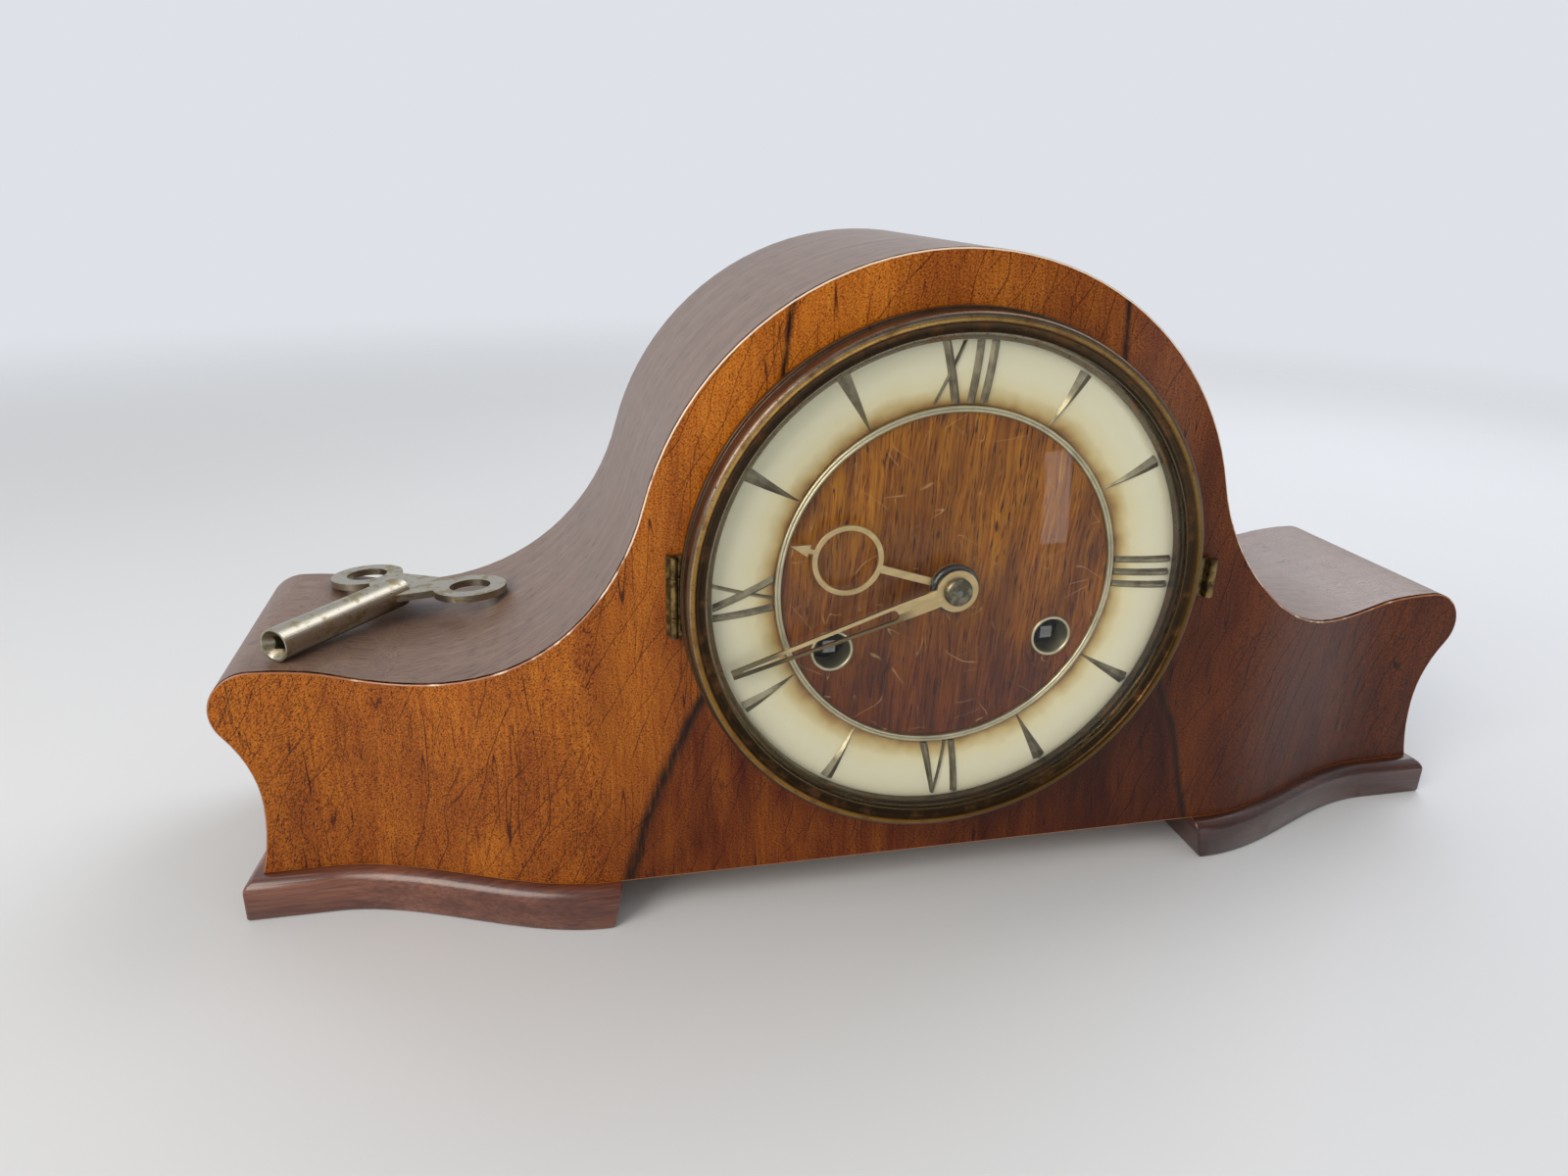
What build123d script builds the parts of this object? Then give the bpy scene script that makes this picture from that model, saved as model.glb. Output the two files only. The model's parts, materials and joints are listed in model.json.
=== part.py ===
from build123d import *
from math import atan2, cos, degrees, hypot, pi, radians, sin, sqrt
import os

# Tambour mantel clock: serpentine wooden case on two feet, hinged bezel, two-train
# striking movement, gong, rear door and winding key. Millimetres, +Z up, the dial
# faces -Y, and the origin is on the floor under the middle of the whole object.

# Case outline, seen from the front
foot_height = 13.0
dial_height = 103.0
dome_radius = 88.0
dome_rise = 2.0
dip_x = 155.0
dip_drop = 29.0
nose_x = 192.0
nose_rise = 4.0
nose_radius = 12.0
waist_below = 30.5
waist_inset = 10.2
skirt_radius = 78.0

# Case plan, seen from above
case_depth = 103.0
wing_setback = 23.0
flat_half = 98.0
swell_length = 80.0

# Case walls
veneer_thick = 0.8
board_thick = 5.0
wrap_thick = 5.0
back_thick = 4.0
base_thick = 8.0
glue_gap = 0.05
board_hole_radius = 50.0
overrun = 10.0

# Feet
foot_proud = 4.5
foot_inner_x = 96.5
foot_end_slant = 3.0
foot_round = 4.0
foot_outer_x = 202.5
foot_corner = 4.5
foot_side_x = 199.5
foot_side_depth = 24.0
foot_bite = 8.0
foot_screw_xs = (125.0, 175.0)
foot_screw_depth = 60.0

# Rear door
door_half = 62.0
door_sill = 30.0
door_clearance = 0.8
rear_pin_radius = 0.7
rear_barrel_radius = 1.5
rear_leaf_thick = 0.7
rear_leaf_width = 9.0
rear_knuckle_length = 11.0
rear_hinge_heights = (58.0, 122.0)
rear_gap = 0.2
door_arch_radius = 72.0
button_length = 22.0
button_width = 7.0
button_thick = 1.5
button_offset = 7.0

# Dial: heights are measured forward from the flat of the case front
dial_plate_thick = 0.8
dial_plate_radius = 75.6
dial_hole_radius = 4.0
chapter_inner = 50.2
chapter_outer = 69.5
chapter_mid = 3.1
chapter_bend = 66.8
chapter_high = 2.9
chapter_thick = 0.6
bead_radius = 0.5
inner_ring_inner = 48.3
inner_ring_height = 2.3
centre_thick = 0.8
relief = 0.55
mark_inner = 50.6
mark_outer = 67.2
mark_height = 6.0

# Strokes of the hour marks: left and right edge at the inner end, then at the outer end
wedge_stroke = ((-0.15, 0.15, -2.2, 2.2),)
numeral_strokes = {
    0: ((-3.4, -0.9, -7.7, -5.3), (-8.6, -7.5, -1.8, -0.7), (0.9, 3.2, 1.9, 4.1), (4.5, 6.9, 5.9, 8.2)),
    3: ((-5.2, -3.2, -5.2, -3.0), (-1.4, 0.6, -1.2, 1.1), (2.2, 4.2, 2.7, 5.0)),
    6: ((2.4, 4.9, -0.3, 0.9), (-3.5, -2.4, -0.4, 0.6), (-6.1, -4.0, -7.7, -5.5)),
    9: ((2.4, 4.8, -4.4, -2.0), (-2.2, -1.1, 2.6, 3.8), (-5.5, -3.3, -7.2, -5.1)),
}
hours_round = 12

# Winding holes and fixings of the dial
winding_x = 33.2
winding_drop = 18.6
grommet_radius = 6.2
grommet_bore = 5.2
grommet_tube = 5.7
grommet_rim = 0.9
grommet_depth = 5.0
dial_screw_circle = 72.4
dial_screw_radius = 1.5
dial_screw_height = 0.9
dial_screw_shank = 0.7
dial_screw_count = 4
dial_screw_turn = 45.0

# Bezel and glass
bezel_radius = 76.0
bezel_base = 1.0
bezel_wall_radius = 75.2
bezel_skirt_inner = 74.6
bezel_step = 3.4
bezel_shoulder = 8.2
bezel_bead_top = 9.6
groove_radius = 72.3
lip_radius = 69.8
lip_top = 8.9
lip_under = 8.1
groove_top = 8.8
cove_radius = 71.2
cove_top = 8.6
bead_middle = 73.8
seat_radius = 70.8
seat_low = 4.6
glass_radius = 70.4
glass_edge = 6.2
glass_thick = 1.6
glass_rise = 10.0
sight_radius = 67.9
sight_low = 3.8
ring_wall = 0.8
hinge_axis_x = 77.4
hinge_axis_height = 2.4
hinge_barrel_radius = 1.1
hinge_pin_radius = 0.5
hinge_half = 11.6
hinge_middle_half = 5.4
hinge_gap = 0.25
hinge_leaf_thick = 0.6
hinge_leaf_inner = 71.0
hinge_leaf_outer = 79.3
leaf_bottom = 0.95
pocket_inner = 72.0
tab_drop = 3.2
tab_half = 6.0
tab_radius = 1.5
tab_axis_x = 83.0

# Hands
minute_angle = 250.5
hour_angle = 287.0
hand_thick = 0.8
hour_hand_height = 5.2
hour_ring_distance = 32.2
hour_ring_radius = 10.0
hour_ring_width = 1.5
hour_tip_distance = 49.0
hour_barb_half = 1.8
hour_barb_length = 5.5
hour_neck_half = 0.7
hour_shank_width = 2.2
hour_boss_radius = 7.0
hour_boss_height = 1.9
hour_boss_round = 0.8
boss_gap = 0.1
minute_hand_height = 8.4
minute_tip_height = 5.9
minute_hub_radius = 6.05
minute_tip_distance = 66.0
minute_neck_distance = 16.0
minute_neck_width = 5.2
minute_tip_width = 2.6
minute_rail_width = 1.0
minute_slot_end = 3.0
slot_start = 17.5
nut_radius = 4.0
nut_height = 1.8

# Movement frame: depths are measured back from the flat of the case front
plate_thick = 2.0
front_plate_depth = 12.8
pillar_length = 42.0
front_plate_half = 58.0
back_plate_half = 50.0
plate_top = 56.0
plate_bottom = 50.0
plate_corner = 6.0
pillar_places = ((-44.0, 46.0), (44.0, 46.0), (-16.0, -43.0), (16.0, -43.0))
pillar_radius = 3.0
pillar_tenon = 1.6
nut_flat_radius = 3.2
nut_thick = 2.2
hex_sides = 6
standoff_places = ((-53.0, 42.0), (53.0, 42.0), (-53.0, -42.0), (53.0, -42.0))
standoff_radius = 4.0
screw_shank = 1.6
screw_head_radius = 3.2
screw_head_thick = 1.8
screw_bite = 3.5
running_gap = 0.06
pivot_radius = 0.6
pivot_shake = 0.05
end_shake = 0.2
hammer_arbor_radius = 1.5
winding_pivot = 1.5

# Wheels
great_teeth, great_module = 64, 0.7
leaf_count = 8
second_teeth, second_module = 60, 0.6
centre_leaves = 10
centre_teeth, centre_module = 90, 0.42
third_teeth, third_module = 80, 0.4
escape_leaves = 7
escape_teeth = 42
escape_radius = 8.6
pin_teeth, pin_module = 72, 0.5
gather_teeth, gather_module = 64, 0.45
cannon_leaves, minute_teeth, motion_module = 12, 36, 0.5
minute_leaves, hour_teeth, hour_module = 10, 40, 0.48
# Tooth points: height over the pitch circle in modules, half width as a share of the pitch
wheel_rows = ((-1.35, 0.215), (0, 0.215), (0.55, 0.15), (0.95, 0.05))
pinion_rows = ((-1.45, 0.18), (0, 0.20), (0.45, 0.15), (0.75, 0.05))
wheel_thick = 1.4
pinion_extra = 1.0
centre_arbor_radius = 1.5
arbor_tip_radius = 0.8
sleeve_radius = 2.0
cannon_outer = 2.3
hour_pipe_outer = 3.2
motion_thick = 2.6
minute_stud_length = 9.0
lift_pin_count = 8
lift_pin_circle = 16.0
lift_pin_radius = 0.6
lift_pin_length = 3.0
great_thick = 3.0
arbor_radius = 1.2
slim_arbor_radius = 0.8
hub_radius = 2.6
spoke_width = 1.8
rim_share = 0.82

# Depths of the back faces of the wheels
first_level = 18.5
great_level = 25.0
third_level = 47.5
rear_level = 53.5
cannon_level = 11.5
hour_level = 6.4
fly_level = 38.0
lift_level = 21.0
lift_thick = 1.5
ratchet_level = 12.6
drum_radius = 20.0
drum_length = 24.0
drum_wall = 1.2
spring_turns = 5
spring_thick = 0.5
spring_margin = 1.0
spring_steps = 12
spring_inner = 3.3
spring_side_gap = 0.3
winding_radius = 2.6
winding_square = 3.6
winding_front = 1.0
ratchet_teeth = 16
ratchet_radius = 9.0
ratchet_root = 7.5
ratchet_thick = 2.2
ratchet_shares = (0.1, 0.9)
escape_root = 7.4
escape_shares = (0.12, 0.8)
click_distance = 14.0
click_boss = 2.6
click_thick = 1.8
click_gap = 0.25
click_post = 1.2
click_bearing = 35.0

# Bearings of arbors that the wheel sizes leave free
third_lean = 4.0
pin_bearing = 75.0
gather_bearing = 95.0
fly_bearing = 40.0
anchor_rise = 13.4
hammer_place = (-46.0, -43.0)
lift_tail = (7.0, 34.0)

# Escapement, pendulum, hammers and gong
anchor_thick = 1.6
anchor_hub = 2.4
pallet_gap = 0.75
pallet_bearing = 40.0
anchor_arm = 1.8
cock_depth = 70.0
cock_half = 14.0
cock_thick = 3.0
cock_pivot = 1.5
cock_low = 44.0
cock_high = 56.0
cock_leg = 2.0
cock_foot = 7.0
stud_end = 76.2
stud_head = 1.8
stud_head_thick = 1.2
stud_radius = 1.0
crutch_length = 26.0
crutch_width = 2.4
crutch_thick = 1.2
crutch_depth = 62.2
crutch_slot_width = 1.4
crutch_slot_length = 4.0
rating_drop = 3.0
rod_width = 3.0
rod_thick = 1.0
pendulum_length = 105.5
bob_radius = 15.0
bob_thick = 7.0
pendulum_depth = 74.0
eye_length = 4.0
eye_radius = 2.6
fly_half = 9.5
fly_length = 18.0
fly_thick = 0.6
hammer_depths = (81.0, 87.0, 93.0)
hammer_reach = 30.0
hammer_arm = 3.0
hammer_thick = 1.5
hammer_drop = 12.0
hammer_end = 95.0
hammer_head_radius = 2.6
hammer_head_length = 13.0
gong_height = 36.0
gong_rod_radius = 1.5
gong_lift = 1.0
gong_block_x = -84.0
gong_block_width = 18.0
gong_block_rise = 8.0
gong_block_margin = 4.0
gong_rod_lengths = (212.0, 196.0, 180.0)
gong_socket = 12.0

# Key, lying on the left shoulder
key_end_x = -186.0
key_end_depth = 30.0
key_yaw = 34.0
key_length = 60.0
key_tube_radius = 4.9
key_mouth_radius = 4.3
key_mouth_depth = 2.6
key_socket_depth = 12.0
key_fit = 0.1
key_lobe_spacing = 42.0
key_lobe_radius = 11.4
key_lobe_hole = 6.4
key_thick = 2.2
key_bridge = 9.0
key_neck = 44.0
key_end_height = 82.8
key_pitch = -1.7
key_roll = 3.8

# Derived values
dome_top = dial_height + dome_rise + dome_radius
back_plate_depth = front_plate_depth + plate_thick + pillar_length
object_front = glass_edge + glass_thick + glass_rise
object_back = case_depth + 2 * rear_barrel_radius
front_y = (object_front - object_back) / 2
ring_offset = wrap_thick + glue_gap
plate_back = front_plate_depth + plate_thick

# Names used below
case_width = 2 * (nose_x + nose_radius)
circle = 360
quarter_turn = 90
dial_middle = (0, 0)
frame_back = back_plate_depth + plate_thick
board_back = veneer_thick + board_thick
base_top = foot_height + base_thick
centre_top = dial_plate_thick + centre_thick
rear_axis_x = -door_half + door_clearance / 2
rear_face_y = front_y + case_depth
rear_axis_y = rear_face_y + rear_barrel_radius
button_x = door_half + button_offset
inner_ring_width = chapter_inner - glue_gap - inner_ring_inner
hour_ring_outer = hour_ring_distance + hour_ring_radius
hour_barb_start = hour_tip_distance - hour_barb_length
hour_boss_top = hour_hand_height + hand_thick + hour_boss_height
leaf_top = leaf_bottom + hinge_leaf_thick
hinge_axis_y = front_y - hinge_axis_height
minute_tilt = degrees(atan2(minute_hand_height - minute_tip_height, minute_tip_distance))
slot_wide = minute_neck_width / 2 - minute_rail_width
slot_narrow = minute_tip_width / 2 - minute_rail_width
slot_round = slot_start + slot_wide
slot_stop = minute_tip_distance - minute_slot_end
foot_screw_places = tuple((side * x, front_y + foot_screw_depth) for side in (-1, 1) for x in foot_screw_xs)
plate_middle = (0, (plate_top - plate_bottom) / 2)
spring_outer = drum_radius - drum_wall - spring_side_gap - spring_thick
click_reach = ratchet_radius + click_gap
click_swing = radians(click_bearing)
cock_front = cock_depth - cock_thick
cock_middle = (0, (cock_low + cock_high) / 2)
hammer_face = gong_height + gong_rod_radius + gong_lift
gong_block_front = hammer_depths[0] - gong_block_margin
gong_block_rear = hammer_depths[-1] + gong_block_margin
gong_socket_x = gong_block_x + gong_block_width - gong_socket
key_shank = key_length - key_lobe_radius + key_thick


def reach(teeth, leaves, module):
    """Distance between the centres of a wheel and its pinion."""
    return (teeth + leaves) * module / 2


def polar(start, distance, bearing):
    """Point at a distance and a bearing in degrees from another point."""
    return (start[0] + distance * cos(radians(bearing)), start[1] + distance * sin(radians(bearing)))


def meeting(a, from_a, b, from_b):
    """Point at given distances from a and b, on the left of the way from a to b."""
    apart = hypot(b[0] - a[0], b[1] - a[1])
    along = (apart**2 + from_a**2 - from_b**2) / (2 * apart)
    aside = sqrt(from_a**2 - along**2)
    east, north = (b[0] - a[0]) / apart, (b[1] - a[1]) / apart
    return (a[0] + along * east - aside * north, a[1] + along * north + aside * east)


# Arbor places, right and up from the dial centre
going_place = (winding_x, -winding_drop)
strike_place = (-winding_x, -winding_drop)
winding_places = (going_place, strike_place)
click_places = tuple((x, y + click_distance) for x, y in winding_places)
minute_place = (0, -reach(minute_teeth, cannon_leaves, motion_module))
second_place = meeting(dial_middle, reach(second_teeth, centre_leaves, second_module),
                       going_place, reach(great_teeth, leaf_count, great_module))
third_place = (third_lean, sqrt(reach(centre_teeth, leaf_count, centre_module)**2 - third_lean**2))
escape_rise = sqrt(reach(third_teeth, escape_leaves, third_module)**2 - third_lean**2)
escape_place = (0, third_place[1] + escape_rise)
anchor_place = (0, escape_place[1] + anchor_rise)
pin_place = polar(strike_place, reach(great_teeth, leaf_count, great_module), pin_bearing)
gather_place = polar(pin_place, reach(pin_teeth, leaf_count, pin_module), gather_bearing)
fly_place = polar(gather_place, reach(gather_teeth, leaf_count, gather_module), fly_bearing)
pivot_places = (second_place, third_place, escape_place, pin_place, gather_place, fly_place,
                anchor_place)
bob_place = (0, anchor_place[1] - pendulum_length)
rating_low = bob_place[1] - bob_radius - rating_drop
pallet_reach = escape_radius + pallet_gap + anchor_arm / 2
pallet_x = pallet_reach * sin(radians(pallet_bearing))
pallet_y = pallet_reach * cos(radians(pallet_bearing)) - anchor_rise
cannon_top = minute_hand_height - end_shake

# Outline circles
dome_centre = Vector(0, dial_height + dome_rise)
dip = Vector(dip_x, dial_height - dip_drop)
dome_fall = dome_centre.Y - dip.Y
saddle_radius = (dip_x**2 + dome_fall**2 - dome_radius**2) / (2 * (dome_radius + dome_fall))
saddle_centre = dip + Vector(0, saddle_radius)
nose_top = Vector(nose_x, dip.Y + nose_rise)
nose_centre = nose_top - Vector(0, nose_radius)
crown_lift = saddle_radius - nose_rise
crown_radius = ((nose_x - dip_x)**2 + crown_lift**2 - saddle_radius**2) / (2 * nose_rise)
crown_centre = nose_top - Vector(0, crown_radius)
waist = Vector(nose_x + nose_radius - waist_inset, nose_centre.Y - waist_below)
waist_step = nose_radius - waist_inset
hollow_radius = (waist_below**2 + waist_step**2 - nose_radius**2) / (2 * waist_inset)
hollow_centre = waist + Vector(hollow_radius, 0)


def facing(depth):
    """Plane that faces the viewer, depth behind the flat of the case front."""
    return Plane(origin=(0, front_y + depth, 0), x_dir=(1, 0, 0), z_dir=(0, -1, 0))


def at(place, depth):
    """Plane that faces the viewer, with its origin at a place from the dial centre."""
    origin = (place[0], front_y + depth, dial_height + place[1])
    return Plane(origin=origin, x_dir=(1, 0, 0), z_dir=(0, -1, 0))


def section():
    """Plane through the dial axis: x is the radius and y the height off the case front."""
    return Plane(origin=(0, front_y, dial_height), x_dir=(1, 0, 0), z_dir=(0, 0, -1))


dial_axis = Axis((0, front_y, dial_height), (0, 1, 0))


def touch(centre, radius, other):
    """Point of the circle round centre that faces another circle's centre."""
    return centre + (other - centre).normalized() * radius


def skirt_end(height):
    """Point of the lowest arc of the outline at a height."""
    drop = waist.Y - height
    return Vector(waist.X + skirt_radius - sqrt(skirt_radius**2 - drop**2), height)


def outline(low):
    """Lines of the closed front outline down to a height, drawn in the open BuildLine."""
    dome = TangentArc((0, dome_top), touch(dome_centre, dome_radius, saddle_centre), tangent=(1, 0))
    saddle = TangentArc(dome @ 1, touch(saddle_centre, saddle_radius, crown_centre), tangent=dome % 1)
    crown = TangentArc(saddle @ 1, nose_top, tangent=saddle % 1)
    nose = TangentArc(crown @ 1, touch(nose_centre, nose_radius, hollow_centre), tangent=crown % 1)
    hollow = TangentArc(nose @ 1, waist, tangent=nose % 1)
    skirt = TangentArc(hollow @ 1, skirt_end(low), tangent=(0, -1))
    Line(skirt @ 1, (0, low))
    mirror(about=Plane.YZ)


def plan(forward, rear, half=nose_x + nose_radius + overrun):
    """Lines of the plan from the serpentine front, moved forward, to a rear depth."""
    front = front_y - forward
    wing = front + wing_setback
    wing_x = flat_half + swell_length
    third = swell_length / 3
    flat = Line((0, front), (flat_half, front))
    swell = Bezier(flat @ 1, (flat_half + third, front), (wing_x - third, wing), (wing_x, wing))
    Polyline(swell @ 1, (half, wing), (half, front_y + rear), (0, front_y + rear))
    mirror(about=Plane.YZ)


def clock_plane(angle, height, tilt=0):
    """Plane at a height off the case front whose y axis points the way of a hand."""
    a, t = radians(angle), radians(tilt)
    return Plane(origin=(0, front_y - height, dial_height), x_dir=(cos(a), 0, -sin(a)),
                 z_dir=(sin(a) * sin(t), -cos(t), cos(a) * sin(t)))


def strut(start, end, width):
    """Flat bar with round ends between two points."""
    length = hypot(end[0] - start[0], end[1] - start[1])
    with Locations(((start[0] + end[0]) / 2, (start[1] + end[1]) / 2)):
        SlotCenterToCenter(length, width,
                           rotation=degrees(atan2(end[1] - start[1], end[0] - start[0])))


def saw_points(teeth, tip_radius, root_radius, shares):
    """Points of a wheel with saw teeth; shares give the tip and the back of each tooth."""
    points = []
    for tooth in range(teeth):
        for radius, share in ((root_radius, 0), (tip_radius, 0), (tip_radius, shares[0]),
                              (root_radius, shares[1])):
            angle = 2 * pi * (tooth + share) / teeth
            points.append((radius * cos(angle), radius * sin(angle)))
    return points


def key_planes():
    """Axes of the key as it lies: across the bow, along the tube and off its flat."""
    yaw, pitch, roll = radians(key_yaw), radians(key_pitch), radians(key_roll)
    along = Vector(sin(yaw) * cos(pitch), cos(yaw) * cos(pitch), sin(pitch))
    level = Vector(cos(yaw), -sin(yaw), 0)
    across = level * cos(roll) + level.cross(along) * sin(roll)
    return across, along, across.cross(along)


key_end = Vector(key_end_x, front_y + key_end_depth, key_end_height)
key_across, key_along, key_normal = key_planes()
key_end_plane = Plane(origin=key_end, x_dir=key_across, z_dir=key_along)
key_flat_plane = Plane(origin=key_end - key_normal * key_thick / 2, x_dir=key_across, z_dir=key_normal)


# Shapes shared by the case pieces
with BuildSketch() as case_shape:
    with BuildLine():
        outline(foot_height)
    make_face()

with BuildSketch() as hood_room:
    with BuildLine():
        outline(foot_height - overrun)
    make_face()
    offset(amount=-wrap_thick)

with BuildSketch() as room_shape:
    with BuildLine():
        outline(foot_height - overrun)
    make_face()
    offset(amount=-ring_offset)
    with Locations((0, foot_height)):
        Rectangle(case_width, case_width, align=(Align.CENTER, Align.MAX), mode=Mode.SUBTRACT)


def door_shape(clear):
    """Arched outline of the rear opening, made smaller by a clearance."""
    half = door_half - clear
    low = door_sill + clear
    radius = door_arch_radius - clear
    spring_line = dome_centre.Y + sqrt(radius**2 - half**2)
    with BuildLine() as loop:
        Polyline((-half, spring_line), (-half, low), (half, low), (half, spring_line))
        ThreePointArc((half, spring_line), (0, dome_centre.Y + radius), (-half, spring_line))
    make_face(loop.edges())


def dial_fixings(radius, mode=Mode.ADD):
    """Circles for the four screws of the dial plate, seen from the dial centre."""
    with PolarLocations(dial_screw_circle, dial_screw_count, start_angle=dial_screw_turn):
        Circle(radius, mode=mode)


def shape_to_front(inset, rear):
    """Keep only what lies between the serpentine front, set back by inset, and a rear depth."""
    with BuildSketch(Plane.XY) as profile:
        with BuildLine():
            plan(-inset, rear)
        make_face()
    extrude(profile.sketch, amount=dome_top + overrun, mode=Mode.INTERSECT)


def hollow_from(inset):
    """Take away everything behind the serpentine front set back by inset."""
    with BuildSketch(Plane.XY) as profile:
        with BuildLine():
            plan(-inset, case_depth + overrun)
        make_face()
    extrude(profile.sketch, amount=dome_top + overrun, mode=Mode.SUBTRACT)


# Case
with BuildPart() as front_veneer:
    with BuildSketch(facing(wing_setback + veneer_thick)):
        add(case_shape.sketch)
        with Locations((0, dial_height)):
            Circle(board_hole_radius, mode=Mode.SUBTRACT)
            dial_fixings(dial_screw_shank + glue_gap, Mode.SUBTRACT)
    extrude(amount=wing_setback + veneer_thick)
    shape_to_front(0, case_depth)
    hollow_from(veneer_thick)

with BuildPart() as front_board:
    with BuildSketch(facing(wing_setback + board_back)):
        add(room_shape.sketch)
        with Locations((0, dial_height)):
            Circle(board_hole_radius, mode=Mode.SUBTRACT)
            dial_fixings(dial_screw_shank + glue_gap, Mode.SUBTRACT)
            with Locations(*standoff_places):
                Circle(screw_shank + glue_gap, mode=Mode.SUBTRACT)
    extrude(amount=wing_setback + board_back)
    shape_to_front(veneer_thick, case_depth)
    hollow_from(board_back)

with BuildPart() as case_wrap:
    with BuildSketch(facing(case_depth)):
        add(case_shape.sketch)
        add(hood_room.sketch, mode=Mode.SUBTRACT)
    extrude(amount=case_depth)
    shape_to_front(veneer_thick, case_depth)

with BuildPart() as base_board:
    with BuildSketch(facing(case_depth)):
        add(room_shape.sketch)
        with Locations((0, foot_height)):
            Rectangle(case_width, base_thick, align=(Align.CENTER, Align.MIN), mode=Mode.INTERSECT)
    extrude(amount=case_depth)
    shape_to_front(board_back + glue_gap, case_depth - back_thick - glue_gap)
    with BuildSketch(Plane.XY):
        with Locations(*foot_screw_places):
            Circle(screw_shank + glue_gap)
    extrude(amount=case_depth, mode=Mode.SUBTRACT)

with BuildPart() as back_frame:
    with BuildSketch(facing(case_depth)):
        add(room_shape.sketch)
    extrude(amount=back_thick)
    with BuildSketch(facing(case_depth)):
        door_shape(0)
        with Locations((button_x, dome_centre.Y)):
            Circle(screw_shank + running_gap)
    extrude(amount=back_thick, mode=Mode.SUBTRACT)


def foot_block(side):
    """Moulded foot that follows the front and turns round the outer end."""
    inner = foot_inner_x - foot_end_slant
    with BuildSketch(Plane.XY) as profile:
        with BuildLine():
            plan(foot_proud, case_depth, foot_outer_x)
        make_face()
        Rectangle(2 * inner, case_width, mode=Mode.SUBTRACT)
        with Locations((-side * case_width, 0)):
            Rectangle(2 * case_width, case_width, mode=Mode.SUBTRACT)
        with BuildLine():
            Polyline((side * foot_outer_x, front_y + wing_setback - foot_proud),
                     (side * foot_side_x, front_y + wing_setback + foot_side_depth),
                     (side * foot_side_x, case_width), (side * case_width, case_width),
                     (side * case_width, -case_width), (side * foot_outer_x, -case_width), close=True)
        make_face(mode=Mode.SUBTRACT)
        fillet(vertices().group_by(Axis.Y)[0].sort_by(Axis.X)[0 if side < 0 else -1], foot_corner)
    extrude(profile.sketch, amount=foot_height)
    top = faces().sort_by(Axis.Z)[-1]
    outside = inner + glue_gap
    rear = front_y + case_depth - glue_gap
    rim = top.edges().filter_by(lambda e: abs(e.center().X) > outside and e.center().Y < rear)
    fillet(rim, foot_round)
    with BuildSketch(facing(case_depth)) as profile:
        with BuildLine():
            Polyline((side * inner, 0), (side * foot_inner_x, 0), (side * inner, foot_height), close=True)
        make_face()
    extrude(profile.sketch, amount=2 * case_depth, mode=Mode.SUBTRACT)
    with BuildSketch(Plane.XY.offset(foot_height)) as profile:
        with Locations(*foot_screw_places):
            Circle(screw_shank + glue_gap)
    extrude(profile.sketch, amount=-foot_bite - glue_gap, mode=Mode.SUBTRACT)


with BuildPart() as foot_left:
    foot_block(-1)

with BuildPart() as foot_right:
    foot_block(1)

with BuildPart() as foot_screws:
    with BuildSketch(Plane.XY.offset(foot_height - foot_bite)):
        with Locations(*foot_screw_places):
            Circle(screw_shank)
    extrude(amount=foot_bite + base_thick)
    with BuildSketch(Plane.XY.offset(foot_height + base_thick)):
        with Locations(*foot_screw_places):
            Circle(screw_head_radius)
    extrude(amount=screw_head_thick)

# Rear door
with BuildPart() as rear_door:
    with BuildSketch(facing(case_depth)):
        door_shape(door_clearance)
    extrude(amount=back_thick)


def rear_leaf(side, low):
    """One leaf of each rear butt hinge, with its solid knuckle."""
    edge = Align.MIN if side > 0 else Align.MAX
    for height in rear_hinge_heights:
        with BuildSketch(Plane.XY.offset(height - rear_knuckle_length)) as profile:
            with Locations((rear_axis_x + side * (rear_barrel_radius + rear_gap), rear_face_y)):
                Rectangle(rear_leaf_width, rear_leaf_thick, align=(edge, Align.MIN))
        extrude(profile.sketch, amount=2 * rear_knuckle_length)
        with BuildSketch(Plane.XY.offset(height + low)) as profile:
            with Locations((rear_axis_x, rear_face_y)):
                Rectangle(2 * rear_barrel_radius, rear_leaf_thick, align=(edge, Align.MIN))
            with Locations((rear_axis_x, rear_axis_y)):
                Circle(rear_barrel_radius)
        extrude(profile.sketch, amount=rear_knuckle_length - rear_gap)


def rear_pins(radius, mode=Mode.ADD):
    """Pins of the rear hinges, or the bores for them."""
    for height in rear_hinge_heights:
        with BuildSketch(Plane.XY.offset(height - rear_knuckle_length)) as profile:
            with Locations((rear_axis_x, rear_axis_y)):
                Circle(radius)
        extrude(profile.sketch, amount=2 * rear_knuckle_length, mode=mode)


with BuildPart() as rear_hinge_door_leaves:
    rear_leaf(1, rear_gap)
    rear_pins(rear_pin_radius + running_gap, Mode.SUBTRACT)

with BuildPart() as rear_hinge_frame_leaves:
    rear_leaf(-1, -rear_knuckle_length)
    rear_pins(rear_pin_radius)

with BuildPart() as rear_turn_button:
    with BuildSketch(facing(case_depth + rear_gap + button_thick)):
        with Locations((button_x, dome_centre.Y)):
            SlotOverall(button_length, button_width, rotation=quarter_turn)
    extrude(amount=button_thick)
    with BuildSketch(facing(case_depth + rear_gap)):
        with Locations((button_x, dome_centre.Y)):
            Circle(screw_shank)
    extrude(amount=back_thick)

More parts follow.
